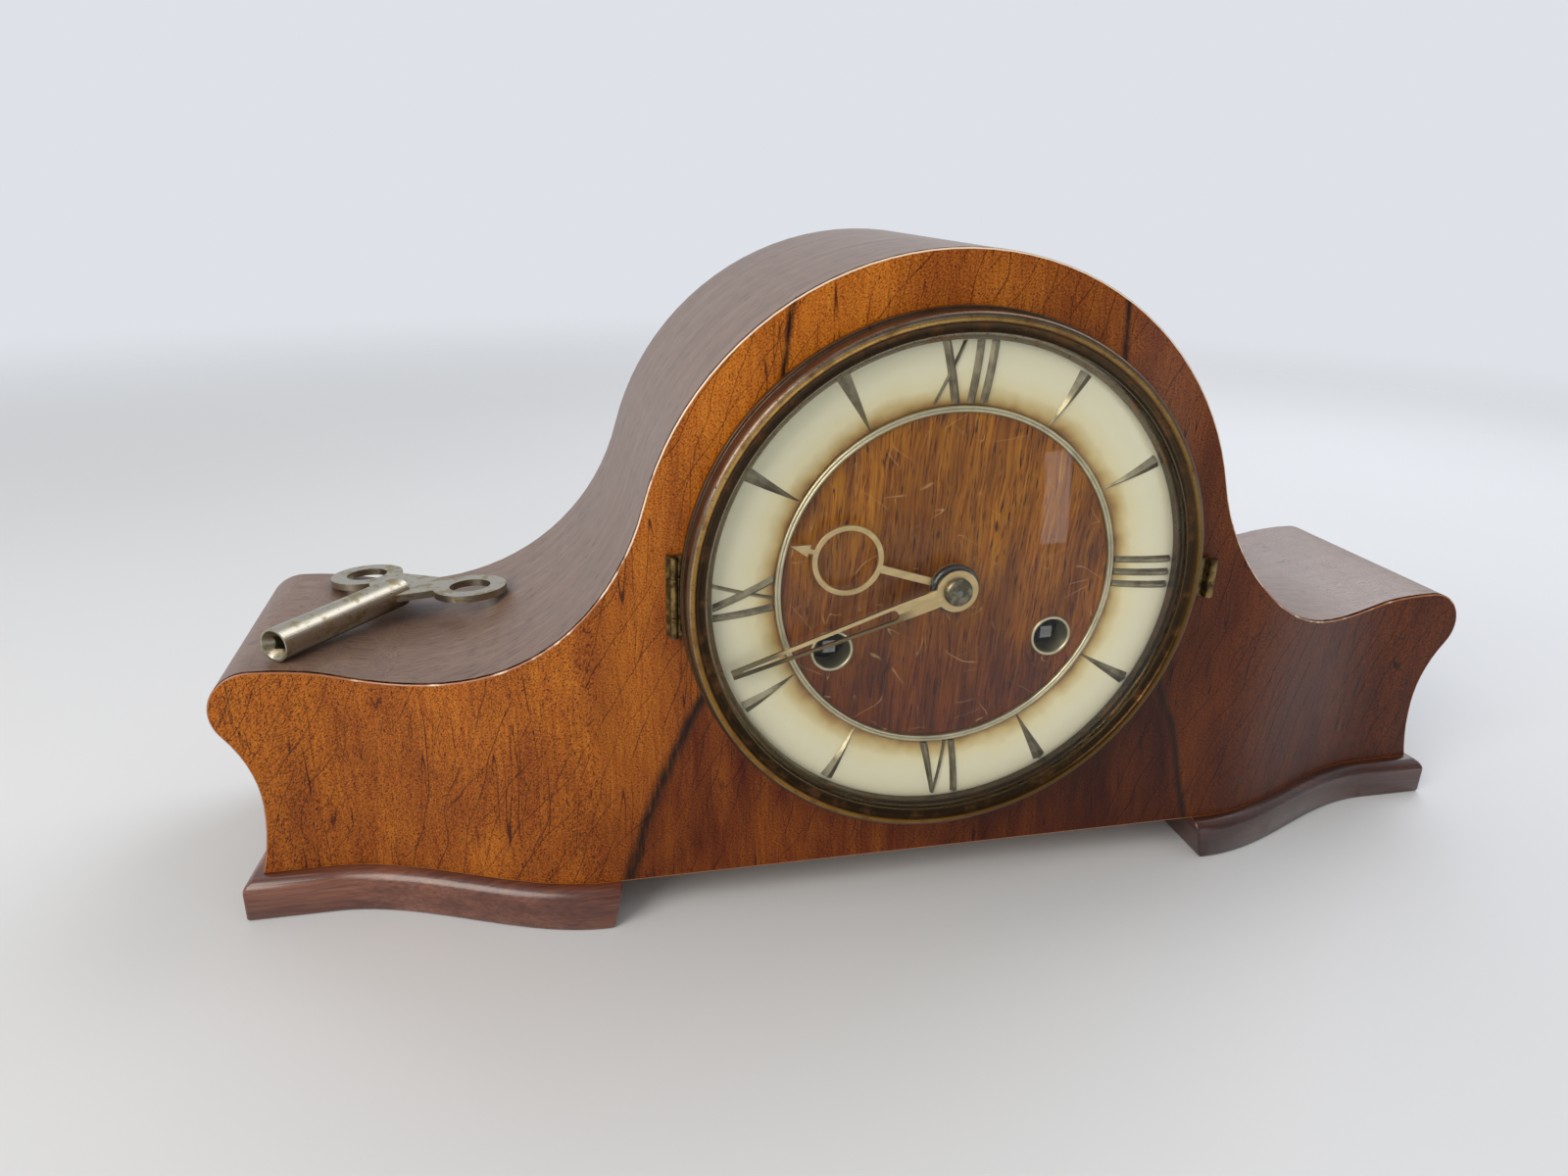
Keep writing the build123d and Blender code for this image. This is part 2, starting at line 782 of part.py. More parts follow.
# Dial
with BuildPart() as dial_plate:
    with BuildSketch(at(dial_middle, 0)):
        Circle(dial_plate_radius)
        Circle(dial_hole_radius, mode=Mode.SUBTRACT)
        with Locations(*winding_places):
            Circle(grommet_tube + glue_gap, mode=Mode.SUBTRACT)
        dial_fixings(dial_screw_shank + glue_gap, Mode.SUBTRACT)
        with Locations((-hinge_leaf_inner, 0)):
            Rectangle(hinge_axis_x, 2 * (hinge_half + glue_gap), align=(Align.MAX, Align.CENTER),
                      mode=Mode.SUBTRACT)
    extrude(amount=dial_plate_thick)

with BuildPart() as dial_centre:
    with BuildSketch(at(dial_middle, -dial_plate_thick)):
        Circle(inner_ring_inner - glue_gap)
        Circle(dial_hole_radius, mode=Mode.SUBTRACT)
        with Locations(*winding_places):
            Circle(grommet_tube + glue_gap, mode=Mode.SUBTRACT)
    extrude(amount=centre_thick)

with BuildPart() as winding_grommets:
    with BuildSketch(at(dial_middle, grommet_depth)):
        with Locations(*winding_places):
            Circle(grommet_tube)
            Circle(grommet_bore, mode=Mode.SUBTRACT)
    extrude(amount=grommet_depth + centre_top)
    with BuildSketch(at(dial_middle, -centre_top)):
        with Locations(*winding_places):
            Circle(grommet_radius)
            Circle(grommet_bore, mode=Mode.SUBTRACT)
    extrude(amount=grommet_rim)

with BuildPart() as inner_ring:
    with BuildSketch(section()):
        with Locations((inner_ring_inner, dial_plate_thick)):
            Rectangle(inner_ring_width, inner_ring_height - dial_plate_thick, align=Align.MIN)
        with Locations((inner_ring_inner + bead_radius, inner_ring_height),
                       (chapter_inner - glue_gap - bead_radius, inner_ring_height)):
            Circle(bead_radius)
    revolve(axis=dial_axis)


def chapter_arc(lift):
    """Curve across the dished chapter ring, lifted off its face."""
    return ThreePointArc((chapter_inner, dial_plate_thick + chapter_thick + lift),
                         (chapter_bend, chapter_mid + lift), (chapter_outer, chapter_high + lift))


with BuildPart() as chapter_ring:
    with BuildSketch(section()):
        with BuildLine():
            face_line = chapter_arc(0)
            Polyline(face_line @ 1, (chapter_outer, dial_plate_thick),
                     (chapter_inner, dial_plate_thick), face_line @ 0)
        make_face()
        with BuildLine():
            under = chapter_arc(-chapter_thick)
            Polyline(under @ 1, (chapter_outer, dial_plate_thick), under @ 0)
        make_face(mode=Mode.SUBTRACT)
        with Locations((chapter_outer, dial_plate_thick)):
            Rectangle(chapter_thick, chapter_high - dial_plate_thick, align=(Align.MAX, Align.MIN))
    revolve(axis=dial_axis)


def stroke(inner_left, inner_right, outer_left, outer_right, low=mark_inner, high=mark_outer):
    """Straight stroke along a radius, given by its edges at the inner and the outer end."""
    with BuildLine() as loop:
        Polyline((inner_left, low), (inner_right, low), (outer_right, high), (outer_left, high),
                 close=True)
    make_face(loop.edges())


with BuildPart() as hour_marks:
    for hour in range(hours_round):
        with BuildSketch(clock_plane(hour * circle / hours_round, 0)):
            for edges_of_stroke in numeral_strokes.get(hour, wedge_stroke):
                stroke(*edges_of_stroke)
        extrude(amount=mark_height)
    with BuildSketch(section()):
        with BuildLine():
            low_line = chapter_arc(glue_gap)
            high_line = chapter_arc(relief)
            Line(low_line @ 0, high_line @ 0)
            Line(low_line @ 1, high_line @ 1)
        make_face()
    revolve(axis=dial_axis, mode=Mode.INTERSECT)

with BuildPart() as dial_screws:
    with BuildSketch(at(dial_middle, board_back)):
        dial_fixings(dial_screw_shank)
    extrude(amount=board_back + dial_plate_thick)
    with BuildSketch(at(dial_middle, -dial_plate_thick)):
        dial_fixings(dial_screw_radius)
    extrude(amount=dial_screw_height)

# Bezel door
with BuildPart() as bezel:
    with BuildSketch(section()):
        with BuildLine():
            base = Polyline((bezel_wall_radius, bezel_shoulder), (bezel_wall_radius, bezel_step),
                            (bezel_radius, bezel_step), (bezel_radius, bezel_base),
                            (bezel_skirt_inner, bezel_base), (bezel_skirt_inner, seat_low),
                            (seat_radius, seat_low), (seat_radius, lip_under),
                            (lip_radius, lip_under), (lip_radius, lip_top))
            cove = ThreePointArc(base @ 1, (cove_radius, cove_top), (groove_radius, groove_top))
            ThreePointArc(cove @ 1, (bead_middle, bezel_bead_top), base @ 0)
        make_face()
    revolve(axis=dial_axis)
    with BuildSketch(at(dial_middle, -bezel_base)):
        with Locations((-pocket_inner, 0)):
            Rectangle(hinge_axis_x, 2 * (hinge_middle_half + glue_gap),
                      align=(Align.MAX, Align.CENTER))
        with Locations((pocket_inner, -tab_drop)):
            Rectangle(hinge_axis_x, 2 * (tab_half + glue_gap), align=(Align.MIN, Align.CENTER))
    extrude(amount=leaf_top + glue_gap - bezel_base, mode=Mode.SUBTRACT)

with BuildPart() as glass:
    with BuildSketch(section()):
        with BuildLine():
            inner = TangentArc((0, glass_edge + glass_rise), (glass_radius, glass_edge), tangent=(1, 0))
            outer = TangentArc((0, glass_edge + glass_rise + glass_thick),
                               (glass_radius, glass_edge + glass_thick), tangent=(1, 0))
            Line(inner @ 0, outer @ 0)
            Line(inner @ 1, outer @ 1)
        make_face()
    revolve(axis=dial_axis)

with BuildPart() as glass_ring:
    with BuildSketch(section()):
        with Locations((sight_radius, glass_edge)):
            Rectangle(seat_radius - glue_gap - sight_radius, ring_wall,
                      align=(Align.MIN, Align.MAX))
            Rectangle(ring_wall, glass_edge - sight_low, align=(Align.MIN, Align.MAX))
    revolve(axis=dial_axis)

with BuildPart() as bezel_hinge_leaf:
    with BuildSketch(at(dial_middle, 0)):
        with Locations((-hinge_leaf_inner - glue_gap, 0)):
            Rectangle(hinge_leaf_outer - hinge_leaf_inner, 2 * hinge_half,
                      align=(Align.MAX, Align.CENTER))
    extrude(amount=dial_plate_thick)
    for side in (-1, 1):
        length = hinge_half - hinge_middle_half - hinge_gap
        foot = dial_height + min(side * hinge_half, side * (hinge_middle_half + hinge_gap))
        with BuildSketch(Plane.XY.offset(foot)):
            with Locations((-hinge_axis_x, hinge_axis_y)):
                Circle(hinge_barrel_radius)
                Rectangle(hinge_barrel_radius, hinge_axis_height, align=(Align.MAX, Align.MIN))
        extrude(amount=length)
    with BuildSketch(Plane.XY.offset(dial_height - hinge_half)):
        with Locations((-hinge_axis_x, hinge_axis_y)):
            Circle(hinge_pin_radius)
    extrude(amount=2 * hinge_half)

with BuildPart() as bezel_hinge_door_leaf:
    with BuildSketch(at(dial_middle, -leaf_bottom)):
        with Locations((-pocket_inner - glue_gap, 0)):
            Rectangle(hinge_axis_x - pocket_inner, 2 * hinge_middle_half,
                      align=(Align.MAX, Align.CENTER))
    extrude(amount=hinge_leaf_thick)
    with BuildSketch(Plane.XY.offset(dial_height - hinge_middle_half)):
        with Locations((-hinge_axis_x, hinge_axis_y)):
            Circle(hinge_barrel_radius)
    extrude(amount=2 * hinge_middle_half)
    with BuildSketch(Plane.XY.offset(dial_height - hinge_middle_half)):
        with Locations((-hinge_axis_x, hinge_axis_y)):
            Circle(hinge_pin_radius + running_gap)
    extrude(amount=2 * hinge_middle_half, mode=Mode.SUBTRACT)

with BuildPart() as bezel_tab:
    with BuildSketch(at(dial_middle, -leaf_bottom)):
        with Locations((pocket_inner + glue_gap, -tab_drop)):
            Rectangle(tab_axis_x - pocket_inner - glue_gap, 2 * tab_half,
                      align=(Align.MIN, Align.CENTER))
    extrude(amount=hinge_leaf_thick)
    with BuildSketch(Plane.XY.offset(dial_height - tab_drop - tab_half)):
        with Locations((tab_axis_x, front_y - leaf_bottom - tab_radius)):
            Circle(tab_radius)
    extrude(amount=2 * tab_half)

# Hands
with BuildPart() as hour_hand:
    with BuildSketch(clock_plane(hour_angle, hour_hand_height)):
        Circle(hour_boss_radius)
        with Locations((0, hour_ring_distance)):
            Circle(hour_ring_radius)
        with Locations((0, 0)):
            Rectangle(hour_shank_width, hour_ring_distance, align=(Align.CENTER, Align.MIN))
        with Locations((0, hour_ring_distance)):
            Circle(hour_ring_radius - hour_ring_width, mode=Mode.SUBTRACT)
        with Locations((0, hour_ring_outer - hour_neck_half)):
            Rectangle(2 * hour_neck_half, hour_barb_start - hour_ring_outer + 2 * hour_neck_half,
                      align=(Align.CENTER, Align.MIN))
        with BuildLine():
            Polyline((-hour_barb_half, hour_barb_start), (hour_barb_half, hour_barb_start),
                     (0, hour_tip_distance), close=True)
        make_face()
        Circle(hour_pipe_outer + glue_gap, mode=Mode.SUBTRACT)
    extrude(amount=hand_thick)

with BuildPart() as hour_hand_boss:
    with BuildSketch(clock_plane(0, hour_hand_height + hand_thick)):
        Circle(hour_boss_radius)
    extrude(amount=hour_boss_height)
    fillet(faces().sort_by(Axis.Y)[0].edges(), hour_boss_round)
    with BuildSketch(clock_plane(0, hour_hand_height + hand_thick)):
        Circle(cannon_outer + boss_gap)
    extrude(amount=hour_boss_height, mode=Mode.SUBTRACT)

with BuildPart() as minute_hand:
    with BuildSketch(clock_plane(minute_angle, minute_hand_height)):
        Circle(minute_hub_radius)
    extrude(amount=hand_thick)
    with BuildSketch(clock_plane(minute_angle, minute_hand_height, minute_tilt)):
        with BuildLine():
            Polyline((-minute_neck_width / 2, 0), (minute_neck_width / 2, 0),
                     (minute_neck_width / 2, minute_neck_distance),
                     (minute_tip_width / 2, minute_tip_distance),
                     (-minute_tip_width / 2, minute_tip_distance),
                     (-minute_neck_width / 2, minute_neck_distance), close=True)
        make_face()
        with BuildLine():
            Polyline((-slot_wide, slot_round), (slot_wide, slot_round),
                     (slot_narrow, slot_stop), (-slot_narrow, slot_stop), close=True)
        make_face(mode=Mode.SUBTRACT)
        with Locations((0, slot_round)):
            Circle(slot_wide, mode=Mode.SUBTRACT)
    extrude(amount=hand_thick)
    with BuildSketch(clock_plane(minute_angle, hour_boss_top)):
        Circle(arbor_tip_radius + glue_gap)
    extrude(amount=minute_hand_height, mode=Mode.SUBTRACT)

with BuildPart() as hand_nut:
    with BuildSketch(clock_plane(0, minute_hand_height + hand_thick)):
        Circle(nut_radius)
    extrude(amount=nut_height)
    fillet(faces().sort_by(Axis.Y)[0].edges(), nut_height / 2)
    with BuildSketch(clock_plane(0, minute_hand_height + hand_thick)):
        Circle(arbor_tip_radius + glue_gap)
    extrude(amount=nut_height, mode=Mode.SUBTRACT)

# Movement frame
with BuildPart() as front_plate:
    with BuildSketch(at(plate_middle, plate_back)):
        RectangleRounded(2 * front_plate_half, plate_top + plate_bottom, plate_corner)
    extrude(amount=plate_thick)
    with BuildSketch(at(dial_middle, plate_back)):
        with Locations(*pillar_places, *standoff_places):
            Circle(pillar_tenon + glue_gap)
        with Locations(*pivot_places):
            Circle(pivot_radius + pivot_shake)
        with Locations(*click_places):
            Circle(click_post + running_gap)
        with Locations(*winding_places):
            Circle(winding_radius + running_gap)
        Circle(centre_arbor_radius + running_gap)
        with Locations(hammer_place):
            Circle(hammer_arbor_radius + running_gap)
    extrude(amount=plate_thick, mode=Mode.SUBTRACT)
    with BuildSketch(at(minute_place, front_plate_depth)):
        Circle(arbor_radius)
    extrude(amount=minute_stud_length)

with BuildPart() as back_plate:
    with BuildSketch(at(plate_middle, back_plate_depth + plate_thick)):
        RectangleRounded(2 * back_plate_half, plate_top + plate_bottom, plate_corner)
    extrude(amount=plate_thick)
    with BuildSketch(at(dial_middle, back_plate_depth + plate_thick)):
        with Locations(*pillar_places):
            Circle(pillar_tenon + glue_gap)
        with Locations(*pivot_places[:-1], dial_middle):
            Circle(pivot_radius + pivot_shake)
        with Locations(*winding_places):
            Circle(winding_pivot + running_gap)
        with Locations(anchor_place):
            Circle(slim_arbor_radius + 2 * end_shake)
        with Locations(hammer_place):
            Circle(hammer_arbor_radius + running_gap)
    extrude(amount=plate_thick, mode=Mode.SUBTRACT)

with BuildPart() as pillars:
    with BuildSketch(at(dial_middle, back_plate_depth)):
        with Locations(*pillar_places):
            Circle(pillar_radius)
    extrude(amount=pillar_length)
    with BuildSketch(at(dial_middle, back_plate_depth + plate_thick + nut_thick)):
        with Locations(*pillar_places):
            Circle(pillar_tenon)
    extrude(amount=pillar_length + 2 * plate_thick + nut_thick)

with BuildPart() as standoffs:
    with BuildSketch(at(dial_middle, front_plate_depth)):
        with Locations(*standoff_places):
            Circle(standoff_radius)
    extrude(amount=front_plate_depth - board_back)
    with BuildSketch(at(dial_middle, plate_back + nut_thick)):
        with Locations(*standoff_places):
            Circle(pillar_tenon)
    extrude(amount=plate_back + nut_thick - board_back + screw_bite)

with BuildPart() as movement_nuts:
    for places, face_depth in ((pillar_places, back_plate_depth + plate_thick),
                               (standoff_places, plate_back)):
        with BuildSketch(at(dial_middle, face_depth + nut_thick)):
            with Locations(*places):
                RegularPolygon(nut_flat_radius, hex_sides)
                Circle(pillar_tenon + glue_gap, mode=Mode.SUBTRACT)
        extrude(amount=nut_thick)


def toothed(teeth, module, phase, rows):
    """Gear outline; rows give each point's height in modules and its share of the pitch."""
    pitch_radius = teeth * module / 2
    points = []
    for tooth in range(teeth):
        middle = phase + 2 * pi * tooth / teeth
        flank = [(pitch_radius + height * module, share * pi * module / pitch_radius)
                 for height, share in rows]
        points += [(r * cos(middle - a), r * sin(middle - a)) for r, a in flank]
        points += [(r * cos(middle + a), r * sin(middle + a)) for r, a in reversed(flank)]
    with BuildLine() as loop:
        Polyline(*points, close=True)
    make_face(loop.edges())


def wheel(place, back, teeth, module, phase, thick=wheel_thick):
    """Wheel with teeth and four crossings, its back face at a depth."""
    with BuildSketch(at(place, back)) as profile:
        toothed(teeth, module, phase, wheel_rows)
    extrude(profile.sketch, amount=thick)
    window = teeth * module / 2 * rim_share
    with BuildSketch(at(place, back)) as profile:
        Circle(window)
        Circle(hub_radius, mode=Mode.SUBTRACT)
        Rectangle(2 * window, spoke_width, mode=Mode.SUBTRACT)
        Rectangle(spoke_width, 2 * window, mode=Mode.SUBTRACT)
    extrude(profile.sketch, amount=thick, mode=Mode.SUBTRACT)


def pinion(place, back, leaves, module, phase, thick=wheel_thick):
    """Pinion a little longer than the wheel that it meshes with."""
    with BuildSketch(at(place, back + pinion_extra)) as profile:
        toothed(leaves, module, phase, pinion_rows)
    extrude(profile.sketch, amount=thick + 2 * pinion_extra)


def arbor(place, radius):
    """Arbor between the plates with a pivot at each end."""
    with BuildSketch(at(place, back_plate_depth - end_shake)) as profile:
        Circle(radius)
    extrude(profile.sketch, amount=pillar_length - 2 * end_shake)
    with BuildSketch(at(place, back_plate_depth + plate_thick)) as profile:
        Circle(pivot_radius)
    extrude(profile.sketch, amount=pillar_length + 2 * plate_thick)


def mesh_angle(wheel_place, pinion_place):
    """Direction from a wheel to the pinion that it meshes with."""
    return atan2(pinion_place[1] - wheel_place[1], pinion_place[0] - wheel_place[0])


def leaf_angle(wheel_place, pinion_place, leaves):
    """Turn of a pinion that puts a gap between its leaves on the line of centres."""
    return mesh_angle(wheel_place, pinion_place) + pi + pi / leaves


# Motion work
with BuildPart() as centre_arbor:
    with BuildSketch(at(dial_middle, back_plate_depth - end_shake)):
        Circle(centre_arbor_radius)
    extrude(amount=back_plate_depth - end_shake + cannon_top)
    with BuildSketch(clock_plane(0, cannon_top)):
        Circle(arbor_tip_radius)
    extrude(amount=minute_hand_height - cannon_top + hand_thick + nut_height)
    with BuildSketch(at(dial_middle, back_plate_depth + plate_thick)):
        Circle(pivot_radius)
    extrude(amount=2 * plate_thick)

with BuildPart() as cannon_pinion:
    with BuildSketch(at(dial_middle, cannon_level)):
        toothed(cannon_leaves, motion_module,
                leaf_angle(minute_place, dial_middle, cannon_leaves), pinion_rows)
    extrude(amount=motion_thick)
    with BuildSketch(at(dial_middle, cannon_level)):
        Circle(cannon_outer)
    extrude(amount=cannon_level + cannon_top)
    with BuildSketch(at(dial_middle, cannon_level)):
        Circle(centre_arbor_radius + glue_gap)
    extrude(amount=cannon_level + cannon_top, mode=Mode.SUBTRACT)

with BuildPart() as minute_wheel:
    with BuildSketch(at(minute_place, cannon_level)):
        toothed(minute_teeth, motion_module, mesh_angle(minute_place, dial_middle), wheel_rows)
    extrude(amount=wheel_thick)
    with BuildSketch(at(minute_place, cannon_level)):
        toothed(minute_leaves, hour_module,
                leaf_angle(dial_middle, minute_place, minute_leaves), pinion_rows)
    extrude(amount=cannon_level - hour_level + motion_thick)
    with BuildSketch(at(minute_place, cannon_level)):
        Circle(arbor_radius + running_gap)
    extrude(amount=cannon_level, mode=Mode.SUBTRACT)

with BuildPart() as hour_wheel:
    with BuildSketch(at(dial_middle, hour_level)):
        toothed(hour_teeth, hour_module, mesh_angle(dial_middle, minute_place), wheel_rows)
    extrude(amount=wheel_thick)
    with BuildSketch(at(dial_middle, hour_level)):
        Circle(hour_pipe_outer)
    extrude(amount=hour_level + hour_hand_height + hand_thick)
    with BuildSketch(at(dial_middle, hour_level)):
        Circle(cannon_outer + running_gap)
    extrude(amount=hour_level + hour_hand_height + hand_thick, mode=Mode.SUBTRACT)

# Going train
with BuildPart() as centre_wheel:
    wheel(dial_middle, rear_level, centre_teeth, centre_module, mesh_angle(dial_middle, third_place))
    pinion(dial_middle, first_level, centre_leaves, second_module,
           leaf_angle(second_place, dial_middle, centre_leaves))
    with BuildSketch(at(dial_middle, rear_level)):
        Circle(sleeve_radius)
    extrude(amount=rear_level - first_level)
    with BuildSketch(at(dial_middle, rear_level)):
        Circle(centre_arbor_radius + running_gap)
    extrude(amount=pillar_length, mode=Mode.SUBTRACT)

with BuildPart() as second_wheel:
    arbor(second_place, arbor_radius)
    wheel(second_place, first_level, second_teeth, second_module,
          mesh_angle(second_place, dial_middle))
    pinion(second_place, great_level, leaf_count, great_module,
           leaf_angle(going_place, second_place, leaf_count), great_thick)

with BuildPart() as third_wheel:
    arbor(third_place, slim_arbor_radius)
    wheel(third_place, third_level, third_teeth, third_module, mesh_angle(third_place, escape_place))
    pinion(third_place, rear_level, leaf_count, centre_module,
           leaf_angle(dial_middle, third_place, leaf_count))

with BuildPart() as escape_wheel:
    arbor(escape_place, slim_arbor_radius)
    pinion(escape_place, third_level, escape_leaves, third_module,
           leaf_angle(third_place, escape_place, escape_leaves))
    with BuildSketch(at(escape_place, rear_level)):
        with BuildLine():
            Polyline(*saw_points(escape_teeth, escape_radius, escape_root, escape_shares), close=True)
        make_face()
        Circle(escape_root * rim_share, mode=Mode.SUBTRACT)
        Circle(slim_arbor_radius * 2)
        Rectangle((1 + rim_share) * escape_root, spoke_width)
        Rectangle(spoke_width, (1 + rim_share) * escape_root)
    extrude(amount=wheel_thick)


def barrel(place, arbor_place):
    """Spring barrel: great wheel, drum and cap round an open room for the spring."""
    with BuildSketch(at(place, great_level)) as profile:
        toothed(great_teeth, great_module, mesh_angle(place, arbor_place), wheel_rows)
    extrude(profile.sketch, amount=great_thick)
    with BuildSketch(at(place, great_level + drum_length)) as profile:
        Circle(drum_radius)
    extrude(profile.sketch, amount=drum_length)
    with BuildSketch(at(place, great_level + drum_length - drum_wall)) as profile:
        Circle(drum_radius - drum_wall)
    extrude(profile.sketch, amount=drum_length - drum_wall, mode=Mode.SUBTRACT)
    with BuildSketch(at(place, great_level + drum_length)) as profile:
        Circle(winding_radius + running_gap)
    extrude(profile.sketch, amount=great_thick + drum_length, mode=Mode.SUBTRACT)


def mainspring(place):
    """Coiled strip that lies free inside the drum."""
    edges_of_strip = []
    for side in (0, spring_thick):
        points = []
        for step in range(spring_turns * spring_steps + 1):
            share = step / (spring_turns * spring_steps)
            radius = spring_inner + share * (spring_outer - spring_inner) + side
            angle = 2 * pi * step / spring_steps
            points.append((radius * cos(angle), radius * sin(angle)))
        edges_of_strip.append(points)
    with BuildSketch(at(place, great_level + drum_length - drum_wall - spring_margin)) as profile:
        with BuildLine():
            inside = Spline(*edges_of_strip[0])
            outside = Spline(*edges_of_strip[1])
            Line(inside @ 0, outside @ 0)
            Line(inside @ 1, outside @ 1)
        make_face()
    extrude(profile.sketch, amount=drum_length - drum_wall - 2 * spring_margin)


def winding_arbor(place, hand):
    """Arbor with key square and ratchet wheel; hand is +1 or -1 for the way the teeth lean."""
    rear = back_plate_depth - end_shake
    with BuildSketch(at(place, rear)) as profile:
        Circle(winding_radius)
    extrude(profile.sketch, amount=rear - ratchet_level)
    with BuildSketch(at(place, back_plate_depth + plate_thick)) as profile:
        Circle(winding_pivot)
    extrude(profile.sketch, amount=2 * plate_thick)
    with BuildSketch(at(place, ratchet_level)) as profile:
        with BuildLine():
            teeth = saw_points(ratchet_teeth, ratchet_radius, ratchet_root, ratchet_shares)
            Polyline(*[(hand * x, y) for x, y in teeth], close=True)
        make_face()
    extrude(profile.sketch, amount=ratchet_thick)
    with BuildSketch(at(place, ratchet_level)) as profile:
        Rectangle(winding_square, winding_square)
    extrude(profile.sketch, amount=ratchet_level - winding_front)


def click(place, hand):
    """Click over a ratchet wheel, on its own post in the front plate."""
    tip = (hand * click_reach * sin(click_swing), click_reach * cos(click_swing) - click_distance)
    with BuildSketch(at(place, ratchet_level)) as profile:
        Circle(click_boss)
        with BuildLine():
            Polyline((hand * click_boss, 0), tip, (tip[0] - hand * click_thick, tip[1] + click_thick),
                     (0, click_boss), close=True)
        make_face()
    extrude(profile.sketch, amount=click_thick)
    with BuildSketch(at(place, plate_back)) as profile:
        Circle(click_post)
    extrude(profile.sketch, amount=plate_back - ratchet_level)


with BuildPart() as going_barrel:
    barrel(going_place, second_place)

with BuildPart() as going_mainspring:
    mainspring(going_place)

with BuildPart() as going_winding_arbor:
    winding_arbor(going_place, 1)

with BuildPart() as going_click:
    click(click_places[0], 1)

# Strike train
with BuildPart() as strike_barrel:
    barrel(strike_place, pin_place)

with BuildPart() as strike_mainspring:
    mainspring(strike_place)

with BuildPart() as strike_winding_arbor:
    winding_arbor(strike_place, -1)

with BuildPart() as strike_click:
    click(click_places[1], -1)

with BuildPart() as pin_wheel:
    arbor(pin_place, arbor_radius)
    wheel(pin_place, first_level, pin_teeth, pin_module, mesh_angle(pin_place, gather_place))
    pinion(pin_place, great_level, leaf_count, great_module,
           leaf_angle(strike_place, pin_place, leaf_count), great_thick)
    with BuildSketch(at(pin_place, first_level + lift_pin_length)):
        with PolarLocations(lift_pin_circle, lift_pin_count):
            Circle(lift_pin_radius)
    extrude(amount=lift_pin_length)

with BuildPart() as gathering_wheel:
    arbor(gather_place, arbor_radius)
    wheel(gather_place, third_level, gather_teeth, gather_module, mesh_angle(gather_place, fly_place))
    pinion(gather_place, first_level, leaf_count, pin_module,
           leaf_angle(pin_place, gather_place, leaf_count))

with BuildPart() as fly:
    arbor(fly_place, slim_arbor_radius)
    pinion(fly_place, third_level, leaf_count, gather_module,
           leaf_angle(gather_place, fly_place, leaf_count))
    with BuildSketch(at(fly_place, fly_level)):
        Rectangle(2 * fly_half, fly_thick)
        Circle(2 * slim_arbor_radius)
    extrude(amount=fly_length)

# Escapement and pendulum
with BuildPart() as anchor:
    with BuildSketch(at(anchor_place, rear_level)):
        Circle(anchor_hub)
        for side in (-1, 1):
            tip = (side * pallet_x, pallet_y)
            elbow = (side * (pallet_x + anchor_arm), -anchor_hub)
            strut((0, 0), elbow, anchor_arm)
            strut(elbow, tip, anchor_arm)
    extrude(amount=anchor_thick)
    with BuildSketch(at(anchor_place, cock_front + cock_pivot)):
        Circle(pivot_radius)
    extrude(amount=cock_front + cock_pivot - front_plate_depth)
    with BuildSketch(at(anchor_place, cock_front - end_shake)):
        Circle(slim_arbor_radius)
    extrude(amount=cock_front - plate_back - 2 * end_shake)
    with BuildSketch(at(anchor_place, crutch_depth)):
        Circle(anchor_hub)
        strut((0, 0), (0, -crutch_length), crutch_width)
    extrude(amount=crutch_thick)
    with BuildSketch(at(anchor_place, pendulum_depth + rod_thick)):
        with Locations((0, -crutch_length)):
            Circle(pivot_radius)
    extrude(amount=pendulum_depth + rod_thick - crutch_depth)

with BuildPart() as suspension_cock:
    with BuildSketch(at(cock_middle, cock_depth)):
        Rectangle(2 * cock_half, cock_high - cock_low)
    extrude(amount=cock_thick)
    with BuildSketch(at(anchor_place, cock_front + cock_pivot + end_shake)):
        Circle(pivot_radius + pivot_shake)
    extrude(amount=cock_thick, mode=Mode.SUBTRACT)
    for side in (-1, 1):
        edge = Align.MAX if side > 0 else Align.MIN
        with BuildSketch(at(cock_middle, cock_front)):
            with Locations((side * cock_half, 0)):
                Rectangle(cock_leg, cock_high - cock_low, align=(edge, Align.CENTER))
        extrude(amount=cock_front - frame_back)
        with BuildSketch(at(cock_middle, frame_back + cock_leg)):
            with Locations((side * (cock_half + cock_foot), 0)):
                Rectangle(cock_foot + cock_leg, cock_high - cock_low, align=(edge, Align.CENTER))
        extrude(amount=cock_leg)
    with BuildSketch(at(anchor_place, stud_end + stud_head_thick)):
        Circle(stud_radius)
    extrude(amount=stud_end + stud_head_thick - cock_depth)
    with BuildSketch(at(anchor_place, stud_end + stud_head_thick)):
        Circle(stud_head)
    extrude(amount=stud_head_thick)

